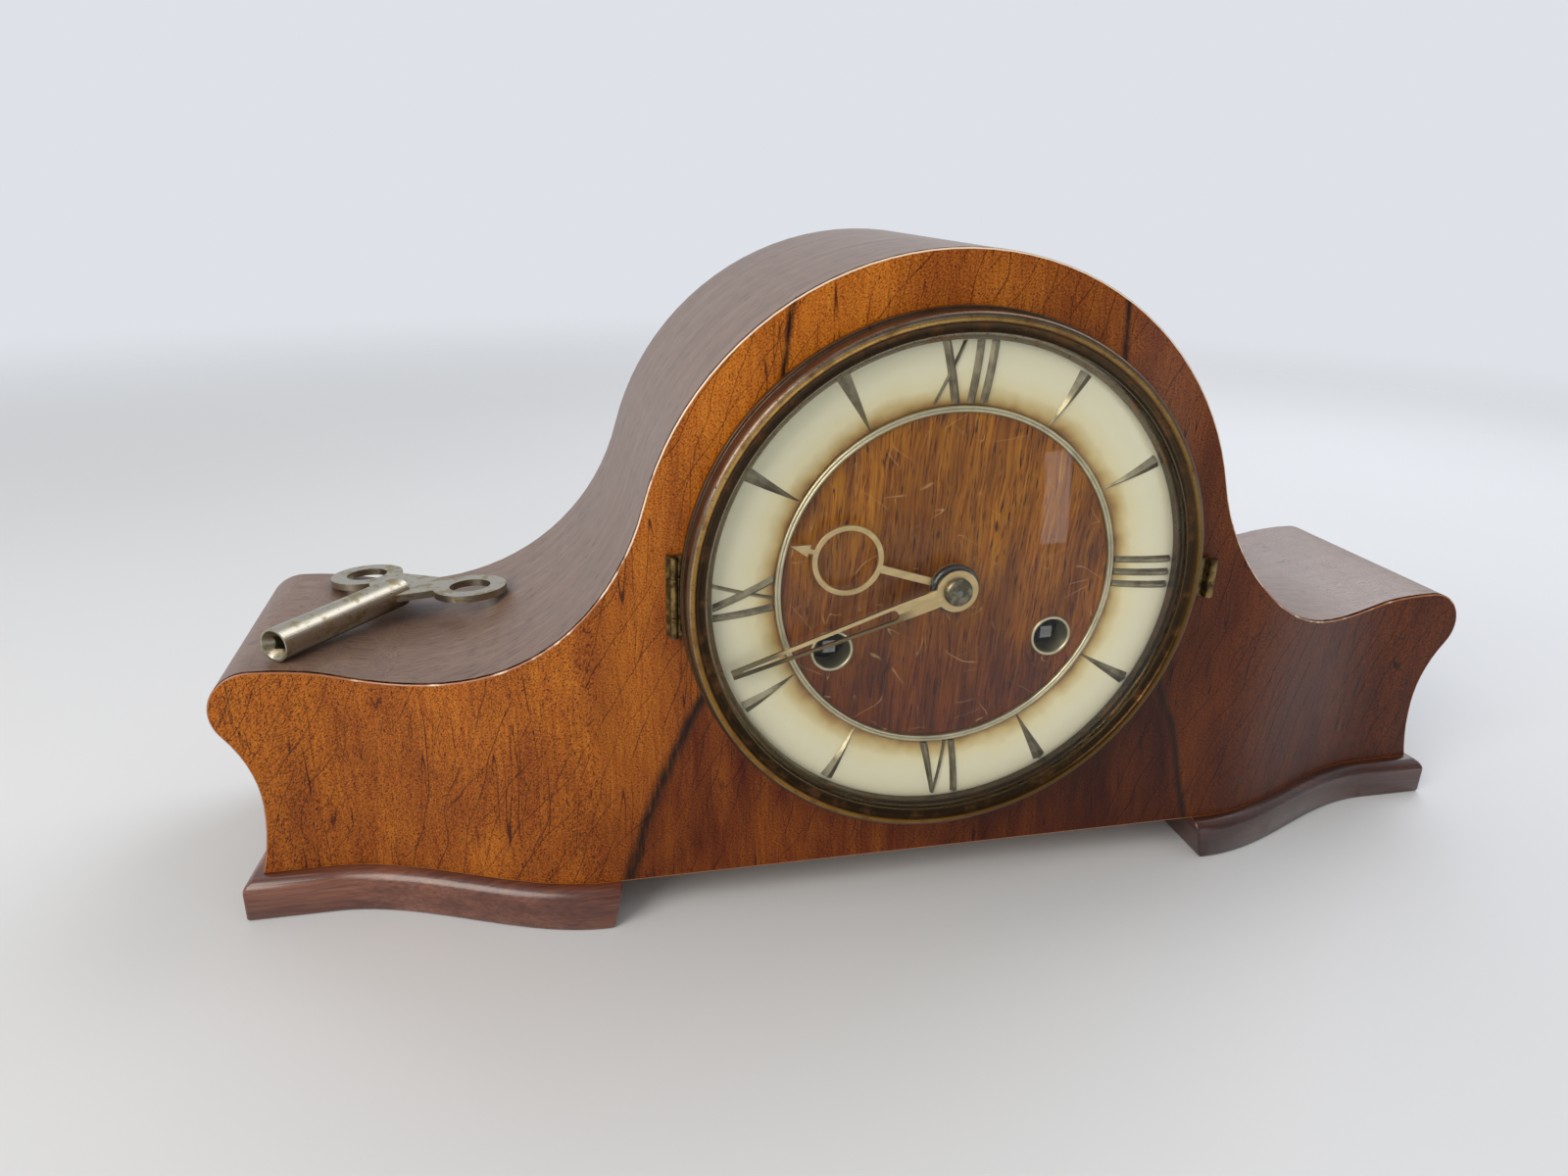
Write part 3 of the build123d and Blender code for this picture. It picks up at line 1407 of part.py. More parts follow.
with BuildPart() as pendulum:
    with BuildSketch(at(anchor_place, pendulum_depth + rod_thick / 2)):
        Rectangle(rod_width, pendulum_length, align=(Align.CENTER, Align.MAX))
        with Locations((0, -crutch_length)):
            SlotOverall(crutch_slot_length, crutch_slot_width, rotation=quarter_turn,
                        mode=Mode.SUBTRACT)
    extrude(amount=rod_thick)
    with BuildSketch(at(anchor_place, pendulum_depth + eye_length / 2)):
        Circle(eye_radius)
    extrude(amount=eye_length)
    with BuildSketch(at(anchor_place, pendulum_depth + eye_length)):
        Circle(stud_radius + running_gap)
    extrude(amount=2 * eye_length, mode=Mode.SUBTRACT)
    with BuildSketch(at(bob_place, pendulum_depth + bob_thick / 2)):
        Circle(bob_radius)
    bob = extrude(amount=bob_thick)
    rims = bob.edges().filter_by(GeomType.CIRCLE).filter_by(lambda e: e.radius > rod_width)
    fillet(rims, bob_thick / 2 - rod_thick)
    with BuildSketch(Plane(origin=(0, front_y + pendulum_depth, dial_height + rating_low))):
        Circle(rod_width / 2)
    extrude(amount=bob_radius)

# Hammers and gong
with BuildPart() as hammers:
    with BuildSketch(at(hammer_place, hammer_end)):
        Circle(hammer_arbor_radius)
    extrude(amount=hammer_end - front_plate_depth)
    with BuildSketch(at(hammer_place, lift_level)):
        Circle(hub_radius)
        strut((0, 0), lift_tail, hammer_arm)
    extrude(amount=lift_thick)
    for depth in hammer_depths:
        with BuildSketch(at(hammer_place, depth + hammer_thick / 2)):
            Circle(hub_radius)
            strut((0, 0), (hammer_reach, -hammer_drop), hammer_arm)
        extrude(amount=hammer_thick)
        origin = (hammer_place[0] + hammer_reach, front_y + depth, hammer_face)
        with BuildSketch(Plane(origin=origin)):
            Circle(hammer_head_radius)
        extrude(amount=hammer_head_length)

with BuildPart() as gong_block:
    with BuildSketch(at((gong_block_x, base_top - dial_height), gong_block_rear)):
        Rectangle(gong_block_width, gong_height + gong_block_rise - base_top, align=Align.MIN)
    extrude(amount=gong_block_rear - gong_block_front)
    for depth in hammer_depths:
        with BuildSketch(Plane(origin=(gong_socket_x, front_y + depth, gong_height), z_dir=(1, 0, 0))):
            Circle(gong_rod_radius + glue_gap)
        extrude(amount=gong_socket + glue_gap, mode=Mode.SUBTRACT)

with BuildPart() as gong_rods:
    for depth, length in zip(hammer_depths, gong_rod_lengths):
        origin = (gong_socket_x + glue_gap, front_y + depth, gong_height)
        with BuildSketch(Plane(origin=origin, z_dir=(1, 0, 0))):
            Circle(gong_rod_radius)
        extrude(amount=length)

# Key
with BuildPart() as key:
    with BuildSketch(key_flat_plane):
        with Locations((-key_lobe_spacing / 2, key_length), (key_lobe_spacing / 2, key_length)):
            Circle(key_lobe_radius)
        with Locations((0, key_length)):
            Rectangle(key_lobe_spacing, key_bridge)
        with BuildLine():
            Polyline((-key_tube_radius, key_neck), (key_tube_radius, key_neck),
                     (key_lobe_spacing / 2, key_length), (-key_lobe_spacing / 2, key_length),
                     close=True)
        make_face()
        with Locations((-key_lobe_spacing / 2, key_length), (key_lobe_spacing / 2, key_length)):
            Circle(key_lobe_hole, mode=Mode.SUBTRACT)
    extrude(amount=key_thick)
    with BuildSketch(key_end_plane):
        Circle(key_tube_radius)
    extrude(amount=key_shank)
    with BuildSketch(key_end_plane):
        Rectangle(winding_square + 2 * key_fit, winding_square + 2 * key_fit)
    extrude(amount=key_socket_depth, mode=Mode.SUBTRACT)
    with Locations(key_end_plane):
        Cone(key_mouth_radius, winding_square / 2, key_mouth_depth,
             align=(Align.CENTER, Align.CENTER, Align.MIN), mode=Mode.SUBTRACT)

pieces = {
    "front_veneer": front_veneer, "front_board": front_board, "case_wrap": case_wrap,
    "base_board": base_board, "back_frame": back_frame, "foot_left": foot_left,
    "foot_right": foot_right, "foot_screws": foot_screws, "rear_door": rear_door,
    "rear_hinge_door_leaves": rear_hinge_door_leaves,
    "rear_hinge_frame_leaves": rear_hinge_frame_leaves, "rear_turn_button": rear_turn_button,
    "dial_plate": dial_plate, "dial_centre": dial_centre, "winding_grommets": winding_grommets,
    "inner_ring": inner_ring, "chapter_ring": chapter_ring, "hour_marks": hour_marks,
    "dial_screws": dial_screws, "bezel": bezel, "glass": glass, "glass_ring": glass_ring,
    "bezel_hinge_leaf": bezel_hinge_leaf, "bezel_hinge_door_leaf": bezel_hinge_door_leaf,
    "bezel_tab": bezel_tab, "hour_hand": hour_hand, "hour_hand_boss": hour_hand_boss,
    "minute_hand": minute_hand, "hand_nut": hand_nut, "front_plate": front_plate,
    "back_plate": back_plate, "pillars": pillars, "standoffs": standoffs,
    "movement_nuts": movement_nuts, "centre_arbor": centre_arbor, "cannon_pinion": cannon_pinion,
    "minute_wheel": minute_wheel, "hour_wheel": hour_wheel, "centre_wheel": centre_wheel,
    "second_wheel": second_wheel, "third_wheel": third_wheel, "escape_wheel": escape_wheel,
    "going_barrel": going_barrel, "going_mainspring": going_mainspring,
    "going_winding_arbor": going_winding_arbor, "going_click": going_click,
    "strike_barrel": strike_barrel, "strike_mainspring": strike_mainspring,
    "strike_winding_arbor": strike_winding_arbor, "strike_click": strike_click,
    "pin_wheel": pin_wheel, "gathering_wheel": gathering_wheel, "fly": fly, "anchor": anchor,
    "suspension_cock": suspension_cock, "pendulum": pendulum, "hammers": hammers,
    "gong_block": gong_block, "gong_rods": gong_rods, "key": key,
}
os.makedirs("parts", exist_ok=True)
for label, piece in pieces.items():
    piece.part.label = label
    export_step(piece.part, f"parts/{label}.step")
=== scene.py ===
"""Looks of a striking mantel clock in a hump-backed walnut case, an add-on that also runs as a script."""

import json
import math

import bmesh
import bpy
import numpy as np
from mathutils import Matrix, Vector

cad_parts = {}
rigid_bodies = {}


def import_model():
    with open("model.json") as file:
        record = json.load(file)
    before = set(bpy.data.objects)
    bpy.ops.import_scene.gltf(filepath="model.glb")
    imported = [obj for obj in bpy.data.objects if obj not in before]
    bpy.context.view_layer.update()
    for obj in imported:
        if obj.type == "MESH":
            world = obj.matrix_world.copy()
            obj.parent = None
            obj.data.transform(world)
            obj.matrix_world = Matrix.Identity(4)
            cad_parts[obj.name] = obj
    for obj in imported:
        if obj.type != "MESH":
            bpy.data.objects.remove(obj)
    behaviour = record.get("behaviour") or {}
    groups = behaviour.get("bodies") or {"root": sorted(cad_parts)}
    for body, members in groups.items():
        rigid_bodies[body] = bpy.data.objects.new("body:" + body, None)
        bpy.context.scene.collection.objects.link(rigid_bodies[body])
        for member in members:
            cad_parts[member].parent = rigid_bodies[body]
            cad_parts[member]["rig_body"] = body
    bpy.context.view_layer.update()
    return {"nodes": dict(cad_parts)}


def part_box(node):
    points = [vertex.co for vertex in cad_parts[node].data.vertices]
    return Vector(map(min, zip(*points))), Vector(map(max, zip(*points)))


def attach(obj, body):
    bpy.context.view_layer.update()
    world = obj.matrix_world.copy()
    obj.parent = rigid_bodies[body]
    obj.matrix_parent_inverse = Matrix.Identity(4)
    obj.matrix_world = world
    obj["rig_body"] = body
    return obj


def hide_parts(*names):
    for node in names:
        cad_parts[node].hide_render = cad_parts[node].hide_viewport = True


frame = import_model()

bl_info = {
    "name": "Tambour mantel clock",
    "version": (1, 0, 0),
    "blender": (4, 5, 0),
    "location": "3D View > Sidebar > Clock",
    "description": "Finishes the parts of a striking mantel clock in walnut, brass, enamel and glass",
    "category": "Object",
}

MM = 0.001
GLASS_LOW, GLASS_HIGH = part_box("glass")
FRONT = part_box("front_veneer")[0].y
# Middle of the dial on the flat of the case front
DIAL = Vector(((GLASS_LOW.x + GLASS_HIGH.x) / 2, FRONT, (GLASS_LOW.z + GLASS_HIGH.z) / 2))
HOURS = 12
# Way that the long hand points, in degrees clockwise from the XII
HAND_WAY = 250.5
CAMERA_PLACE = (-0.10742, -0.30812, 0.20716)
CAMERA_TURN = (69.0024, -1.3575, -12.3794)


def linear(hex_colour, alpha=True):
    """Linear colour of an sRGB hex value."""
    parts = [int(hex_colour[i:i + 2], 16) / 255 for i in (1, 3, 5)]
    values = [p / 12.92 if p <= 0.04045 else ((p + 0.055) / 1.055) ** 2.4 for p in parts]
    return (*values, 1.0) if alpha else tuple(values)


def tint(name, description, hex_colour):
    """A colour property with its default."""
    return bpy.props.FloatVectorProperty(
        name=name, description=description, subtype="COLOR", size=4, min=0, max=1, default=linear(hex_colour))


def length(name, description, millimetres):
    """A length property with its default."""
    return bpy.props.FloatProperty(
        name=name, description=description, unit="LENGTH", min=0, default=millimetres * MM)


class ClockWood(bpy.types.PropertyGroup):
    """Colours and edges of the case."""

    light: tint("Front light", "Palest tone of the front veneer", "#cf7f20")
    dark: tint("Front dark", "Darkest broad tone of the front veneer", "#a0560e")
    heart: tint("Heart streak", "Colour of the near-black streaks in the front", "#200e05")
    # The hood colour is paled and greyed as a painted sheen
    hood: tint("Hood", "Colour of the bent hood veneer", "#8c715f")
    feet: tint("Feet", "Colour of the moulded feet", "#85543f")
    inside: tint("Inside", "Colour of the boards at the back and inside", "#a67f55")
    round_edge: length("Edge rounding", "Rounding of the veneered edges", 0.5)


class ClockMetal(bpy.types.PropertyGroup):
    """Colours and roundness of the metal parts."""

    brass: tint("Brass", "Clean brass of the bezel's bead", "#d2a55a")
    tarnish: tint("Tarnish", "Brown film in the bezel's hollows", "#3d2c1a")
    hands: tint("Hands", "Colour of the hands", "#e0c898")
    nickel: tint("Nickel", "Plating of the key", "#a8a191")
    steel: tint("Steel", "Bare steel inside the movement", "#8d8f92")
    segments: bpy.props.IntProperty(
        name="Segments", description="Segments round each turned part", min=24, max=512, default=192)
    ridge: length("Ridge", "How far the ridge of the minute hand stands over its edges", 0.35)


class ClockDial(bpy.types.PropertyGroup):
    """Colours and relief of the dial."""

    cream: tint("Cream", "Enamel of the chapter ring", "#e6dcc4")
    airbrush: tint("Airbrush", "Brown sprayed round the inner edge of the chapter ring", "#6d4716")
    centre: tint("Centre", "Walnut disc in the middle of the dial", "#b0700c")
    marks: tint("Marks", "Bronze of the hour marks", "#8f8670")
    relief: length("Mark relief", "Height of the hour marks over the ring", 0.9)
    hours: bpy.props.IntProperty(name="Hours", description="Hours round the dial", min=1, default=HOURS)


class ClockStage(bpy.types.PropertyGroup):
    """Light, floor and camera."""

    floor: tint("Floor", "Colour of the floor", "#d3d5d8")
    wall: tint("Backdrop", "Colour that the camera sees behind the clock", "#dee2e8")
    window: bpy.props.FloatProperty(
        name="Window", description="Power of the window light", subtype="POWER", default=6)
    fill: bpy.props.FloatProperty(
        name="Fill", description="Power of the soft lamp before the clock", subtype="POWER", default=8)
    lens: bpy.props.FloatProperty(name="Lens", description="Focal length", unit="CAMERA", default=24.29)


# Nodes and meshes

COLOUR = {"data_type": "RGBA"}
MULTIPLY = {"data_type": "RGBA", "blend_type": "MULTIPLY"}
BRIGHTEN = {"data_type": "RGBA", "blend_type": "ADD"}
SMOOTH = {"interpolation_type": "SMOOTHSTEP"}
TIMES = {"operation": "MULTIPLY"}
SUM = {"operation": "MULTIPLY_ADD"}
LARGER = {"operation": "MAXIMUM"}


def add(tree, kind, settings=None, **sockets):
    """Adds a node with its settings and links and returns its first live output. A kind without its family is a
    shader node. A socket is named by its words, with _ for a space, or by n and its number. A hex value is a colour."""
    node = tree.nodes.new(kind if "Node" in kind else "ShaderNode" + kind)
    for key, value in (settings or {}).items():
        if key == "stops":
            marks = node.color_ramp.elements
            while len(marks) < len(value):
                marks.new(1)
            for mark, (place, colour) in zip(marks, value):
                mark.position, mark.color = place, linear(colour) if isinstance(colour, str) else colour
        elif key == "course":
            points = node.mapping.curves[0].points
            while len(points) < len(value):
                points.new(1, 1)
            for point, place in zip(points, value):
                point.location = place
            node.mapping.update()
        else:
            setattr(node, key, value)
    for key, value in sockets.items():
        if key[0] == "n" and key[1:].isdigit():
            socket = node.inputs[int(key[1:])]
        else:
            socket = next(s for s in node.inputs if s.enabled and s.name == key.replace("_", " "))
        if isinstance(value, bpy.types.NodeSocket):
            tree.links.new(value, socket)
        else:
            socket.default_value = linear(value) if isinstance(value, str) else value
    return next((s for s in node.outputs if s.enabled), None)


def new_material(name):
    """An empty node material and its tree."""
    material = bpy.data.materials.new(name)
    material.use_nodes = True
    material.node_tree.nodes.clear()
    return material, material.node_tree


def from_dial(tree, turn=0.0):
    """Millimetres from the middle of the dial, turned about its axis."""
    place = add(tree, "TexCoord").node.outputs["Object"]
    return add(tree, "Mapping", {"vector_type": "TEXTURE"},
               Vector=place, Location=DIAL, Rotation=(0, turn, 0), Scale=(MM, MM, MM))


def dial_radius(tree, place):
    """Distance from the dial's axis in millimetres."""
    flat = add(tree, "VectorMath", TIMES, n0=place, n1=(1, 0, 1))
    return add(tree, "VectorMath", {"operation": "LENGTH"}, n0=flat)


def blotches(tree, place, size, detail=2.0):
    """A pattern about 0.5 with blotches of a size in millimetres along each axis."""
    drawn = add(tree, "Mapping", Vector=place, Scale=[1 / s for s in size])
    return add(tree, "TexNoise", Vector=drawn, Scale=1, Detail=detail, Roughness=0.6)


def patches(tree, place, size, detail, low, high, most=1.0, least=0.0, ease=SMOOTH):
    """A mask that goes from its least to its most where blotches pass from low to high."""
    return add(tree, "MapRange", ease, Value=blotches(tree, place, size, detail), From_Min=low, From_Max=high,
               To_Min=least, To_Max=most)


def bent(tree, place, size, swing):
    """A place moved aside by blotches of a size, by up to the swing."""
    drift = blotches(tree, place, size).node.outputs["Color"]
    return add(tree, "VectorMath", SUM, n0=drift, n1=swing, n2=place)


def contours(tree, place, size, width):
    """Mask of thin winding lines: the level lines of a smooth pattern with blotches of a size in millimetres."""
    off = add(tree, "Math", {"operation": "SUBTRACT"}, n0=blotches(tree, place, size, 0), n1=0.5)
    off = add(tree, "Math", {"operation": "ABSOLUTE"}, n0=off)
    return add(tree, "MapRange", SMOOTH, Value=off, From_Min=width, From_Max=width / 4)


def arcs(tree, place, spacing, width):
    """Mask of long thin lines at a spacing in millimetres, nearly side by side, that bend and part here and there."""
    across = add(tree, "SeparateXYZ", Vector=bent(tree, place, (26, 26, 44), (14, 0, 0)))
    steps = add(tree, "Math", {"operation": "DIVIDE"}, n0=across, n1=spacing)
    steps = add(tree, "Math", {"operation": "FRACT"}, n0=steps)
    return add(tree, "MapRange", Value=steps, From_Min=width / spacing, From_Max=0)


def largest(tree, masks):
    """The largest of some masks at each place."""
    whole, *others = masks
    for mask in others:
        whole = add(tree, "Math", LARGER, n0=whole, n1=mask)
    return whole


def surface(material, colour, layers, relief, depth, rough, **sockets):
    """Ends a material in one shader and returns it. Each layer, (mix, mask, colour), lies over the first colour and
    the layers before it. Relief has a depth in millimetres, and a tuple spreads a pattern over two roughnesses."""
    tree = material.node_tree
    for mix, mask, top in layers:
        colour = add(tree, "Mix", mix, Factor=mask, A=colour, B=top)
    if isinstance(rough, tuple):
        rough = add(tree, "MapRange", Value=rough[0], To_Min=rough[1], To_Max=rough[2])
    normal = add(tree, "Bump", Height=relief, Distance=depth * MM, Strength=1)
    shader = add(tree, "BsdfPrincipled", Normal=normal, Base_Color=colour, Roughness=rough, **sockets)
    add(tree, "OutputMaterial", Surface=shader)
    return material


def filmed(name, size, detail, under, over, depth, rough, spread=None, grit=None, **sockets):
    """A finish in two colours, one over the other in blotches of a size, or in patches of them with a spread. Relief
    and a roughness given as a tuple follow these blotches, and relief has a finer grit where one is given."""
    material, tree = new_material(name)
    place = from_dial(tree)
    film = patches(tree, place, size, detail, *spread) if spread else blotches(tree, place, size, detail)
    relief = blotches(tree, place, (grit, grit, grit), 2) if grit else film
    rough = (film, *rough) if isinstance(rough, tuple) else rough
    return surface(material, under, [(COLOUR, film, over)], relief, depth, rough, **sockets)


# Woods

# Heart streaks of the front, (height, place across) from the middle of the dial, and their widths in millimetres: the
# lower two, left and right, then the upper two
STREAKS = (
    (((-95, -91.5), (-70.6, -85.0), (-54.9, -79.1), (-41.2, -73.3), (-27.9, -66.3), (-15, -59.0)), 3.4),
    (((-95, 94.0), (-83.9, 90.0), (-68.7, 85.5), (-54, 81.6), (-44.9, 77.1), (-15, 66.0)), 2.2),
    (((45, -49.0), (56.5, -47.8), (64.6, -46.4), (71.2, -46.0), (86, -44.0)), 1.7),
    (((45, 49.0), (60.2, 48.0), (70.9, 47.2), (86, 45.5)), 1.6),
)
# Two sets of crazing that cross: turn, spacing of the lines and size of the patches that have them
CRAZING = ((0.28, 6.5, 26), (0.6, 9, 34))
CRAZE_WIDTH = 0.45


def streak(tree, across, up, course, width):
    """Mask of a dark streak along a course of (up, across) points, and its place across."""
    ups, sides = [u for u, _ in course], [s for _, s in course]
    low, high, left, right = min(ups), max(ups), min(sides), max(sides)
    bend = add(tree, "FloatCurve", {"course": [((u - low) / (high - low), (s - left) / (right - left))
                                               for u, s in course]},
               Value=add(tree, "MapRange", Value=up, From_Min=low, From_Max=high))
    middle = add(tree, "MapRange", Value=bend, To_Min=left, To_Max=right)
    aside = add(tree, "Math", {"operation": "SUBTRACT"}, n0=across, n1=middle)
    off = add(tree, "Math", {"operation": "ABSOLUTE"}, n0=aside)
    line = add(tree, "MapRange", SMOOTH, Value=off, From_Min=width, From_Max=0)
    within = add(tree, "Math", {"operation": "COMPARE"}, n0=up, n1=(low + high) / 2, n2=(high - low) / 2)
    return add(tree, "Math", TIMES, n0=line, n1=within), aside


def figured_walnut(wood):
    """Sliced walnut veneer under old gloss varnish: open pores, near-black heart streaks, a warm broad figure, fine
    crazing, and speckle and rubbing marks whose pale grains are in part painted glints. Painted shade darkens it
    downwards and to the right."""
    material, tree = new_material("figured_walnut_veneer")
    flat = from_dial(tree)
    place = bent(tree, flat, (50, 50, 80), (9, 0, 0))
    wavy = bent(tree, place, (5, 5, 16), (1.2, 0, 0))
    parts = add(tree, "SeparateXYZ", Vector=bent(tree, flat, (9, 9, 18), (2.4, 0, 0))).node.outputs
    across, up = parts["X"], parts["Z"]
    speckle_with_glints = blotches(tree, from_dial(tree, 0.7), (0.3, 0.3, 0.62), 2)
    # Thin grain lines here and there, and pores
    grain = add(tree, "Math", TIMES, n0=contours(tree, wavy, (2.6, 2.6, 60), 0.022),
                n1=patches(tree, place, (9, 9, 26), 2, 0.5, 0.62))
    dots = add(tree, "Math", LARGER, n0=grain, n1=patches(tree, wavy, (0.4, 0.4, 3), 1, 0.66, 0.74))
    # The darker wood between the lower two heart streaks
    lines = [streak(tree, across, up, course, width) for course, width in STREAKS]
    heart = add(tree, "Math", TIMES, n0=add(tree, "MapRange", SMOOTH, Value=lines[0][1], From_Min=-2, From_Max=3),
                n1=add(tree, "MapRange", SMOOTH, Value=lines[1][1], From_Min=3, From_Max=-5))
    for limit in (add(tree, "MapRange", SMOOTH, Value=up, From_Min=-20, From_Max=-34),
                  patches(tree, wavy, (7, 7, 50), 3, 0.3, 0.7, 1, 0.4, None)):
        heart = add(tree, "Math", TIMES, n0=heart, n1=limit)
    dark = add(tree, "Math", TIMES, n0=largest(tree, [line for line, _ in lines]),
               n1=patches(tree, wavy, (1.2, 1.2, 9), 3, 0.3, 0.56, 1, 0.55))
    crack = largest(tree, [
        add(tree, "Math", TIMES, n0=patches(tree, from_dial(tree, turn), (size, 9, 40), 2, 0.42, 0.56, 0.85),
            n1=arcs(tree, from_dial(tree, turn), spacing, CRAZE_WIDTH)) for turn, spacing, size in CRAZING])
    sunk = add(tree, "Math", SUM, n0=dots, n1=0.5, n2=crack)
    # Broad figure, fibres, speckle and rubbing marks with painted glints, pores, painted shade downwards and to the
    # right, streaks and crazing
    return surface(material, wood.dark[:], (
        (COLOUR, patches(tree, place, (22, 22, 60), 3, 0.32, 0.66), wood.light[:]),
        (MULTIPLY, patches(tree, wavy, (1.1, 1.1, 14), 3, 0.35, 0.7, ease=None), "#e2c8b0"),
        # Speckle of tone in fine grains; its pale grains are in part painted glints on the varnish
        (MULTIPLY, add(tree, "MapRange", Value=speckle_with_glints, From_Min=0.5, From_Max=0.34), "#7d5a3a"),
        (BRIGHTEN, add(tree, "MapRange", Value=speckle_with_glints, From_Min=0.5, From_Max=0.66), "#74431a"),
        # Pale rubbing marks: worn varnish, and in part painted glints
        (BRIGHTEN, patches(tree, from_dial(tree, 0.95), (0.4, 0.4, 3), 2, 0.57, 0.66, 0.55), "#6b4526"),
        (MULTIPLY, add(tree, "Math", TIMES, n0=dots, n1=0.85), "#5c3418"),
        # Painted shade: darker downwards, as the light falls from above
        (MULTIPLY, add(tree, "MapRange", SMOOTH, Value=up, From_Min=85, From_Max=-60), "#d2cabe"),
        # Painted shade: darker to the right
        (MULTIPLY, add(tree, "MapRange", SMOOTH, Value=across, From_Min=-50, From_Max=110), "#937e64"),
        (MULTIPLY, heart, "#94684a"),
        (COLOUR, dark, wood.heart[:]),
        (MULTIPLY, crack, "#5c3420"),
    ), add(tree, "Math", SUM, n0=sunk, n1=-1.0, n2=speckle_with_glints), 0.08, (blotches(tree, wavy, (2, 2, 12), 2), 0.26, 0.42),
        IOR=1.25, Coat_Weight=0.14, Coat_Roughness=0.12)


def veneer_edge(name, dirt, paler_tone, highlight_lift, gloss):
    """A rubbed edge of veneer: varnish thinned to pale wood in places and dark dirt in others. The paler colour rises
    towards the top where a highlight lift is given, and there it is a painted highlight on the rounded arris."""
    material, tree = new_material(name)
    place = from_dial(tree)
    up = add(tree, "SeparateXYZ", Vector=place).node.outputs["Z"]
    # Share of the paler colour: patches of wear, raised towards the top by the lift as a painted highlight
    rubbed = add(tree, "Math", SUM, n0=up, n1=highlight_lift, n2=blotches(tree, place, (7, 7, 7), 3))
    rubbed = add(tree, "MapRange", SMOOTH, Value=rubbed, From_Min=0.42, From_Max=0.6)
    return surface(material, dirt, [(COLOUR, rubbed, paler_tone)], blotches(tree, place, (0.6, 0.6, 0.6), 2), 0.03,
                   0.7 - gloss / 2, Specular_IOR_Level=gloss, Coat_Weight=gloss, Coat_Roughness=0.15)


def hood_walnut(wood):
    """Plain walnut veneer bent over the hood, satin from age, its tone paled and greyed as a painted sheen: its
    straight grain runs along the bend, with fine pores and a few long hair cracks."""
    material, tree = new_material("bent_hood_walnut")
    place = add(tree, "Attribute", {"attribute_name": "grain"}).node.outputs["Vector"]
    place = bent(tree, place, (120, 30, 30), (0, 3, 0))
    pores = patches(tree, place, (6, 0.4, 0.4), 1, 0.58, 0.68)
    crack = add(tree, "Math", TIMES, n0=contours(tree, place, (160, 9, 9), 0.004),
                n1=patches(tree, place, (50, 14, 14), 1, 0.54, 0.6))
    sunk = add(tree, "Math", SUM, n0=pores, n1=0.5, n2=crack)
    relief = add(tree, "Math", SUM, n0=sunk, n1=-0.8, n2=blotches(tree, place, (20, 0.9, 0.9), 2))
    return surface(material, "#7c6252", (
        # The hood tone is paler and greyer than the wood: a painted sheen
        (COLOUR, patches(tree, place, (70, 5, 5), 4, 0.3, 0.7), wood.hood[:]),
        (MULTIPLY, patches(tree, place, (9, 0.4, 0.4), 3, 0.35, 0.7, ease=None), "#b39c8e"),
        (MULTIPLY, pores, "#8a6f5e"),
        (COLOUR, crack, "#2c1b13"),
    ), relief, 0.05, (blotches(tree, place, (60, 6, 6), 2), 0.36, 0.52), Coat_Weight=0.25, Coat_Roughness=0.35)


def foot_wood(wood):
    """Stained and varnished moulding of a close-grained wood, with painted shade that darkens it to the right."""
    material, tree = new_material("stained_foot_moulding")
    place = bent(tree, from_dial(tree), (60, 20, 20), (0, 3, 3))
    across = add(tree, "SeparateXYZ", Vector=place)
    return surface(material, "#5f3426", (
        (COLOUR, patches(tree, place, (50, 6, 6), 3, 0.3, 0.7), wood.feet[:]),
        (MULTIPLY, patches(tree, place, (16, 0.7, 0.7), 3, 0.35, 0.7, ease=None), "#bf9c8c"),
        # Painted shade: darker to the right
        (MULTIPLY, add(tree, "MapRange", SMOOTH, Value=across, From_Min=-90, From_Max=120), "#9a8678"),
    ), blotches(tree, place, (12, 0.6, 0.6), 2), 0.04, (blotches(tree, place, (9, 4, 4), 2), 0.3, 0.45),
        Coat_Weight=0.7, Coat_Roughness=0.22)


def board_wood(wood):
    """Unfinished plywood and pine inside and behind the case: dull, with upright grain."""
    material, tree = new_material("bare_board")
    place = bent(tree, from_dial(tree), (40, 40, 90), (6, 0, 0))
    return surface(material, "#8a6238", (
        (COLOUR, blotches(tree, place, (12, 12, 90), 3), wood.inside[:]),
        (MULTIPLY, patches(tree, place, (0.7, 0.7, 14), 3, 0.35, 0.7, ease=None), "#c8ad90"),
    ), blotches(tree, place, (0.6, 0.6, 10), 2), 0.06, 0.62)


# Metals


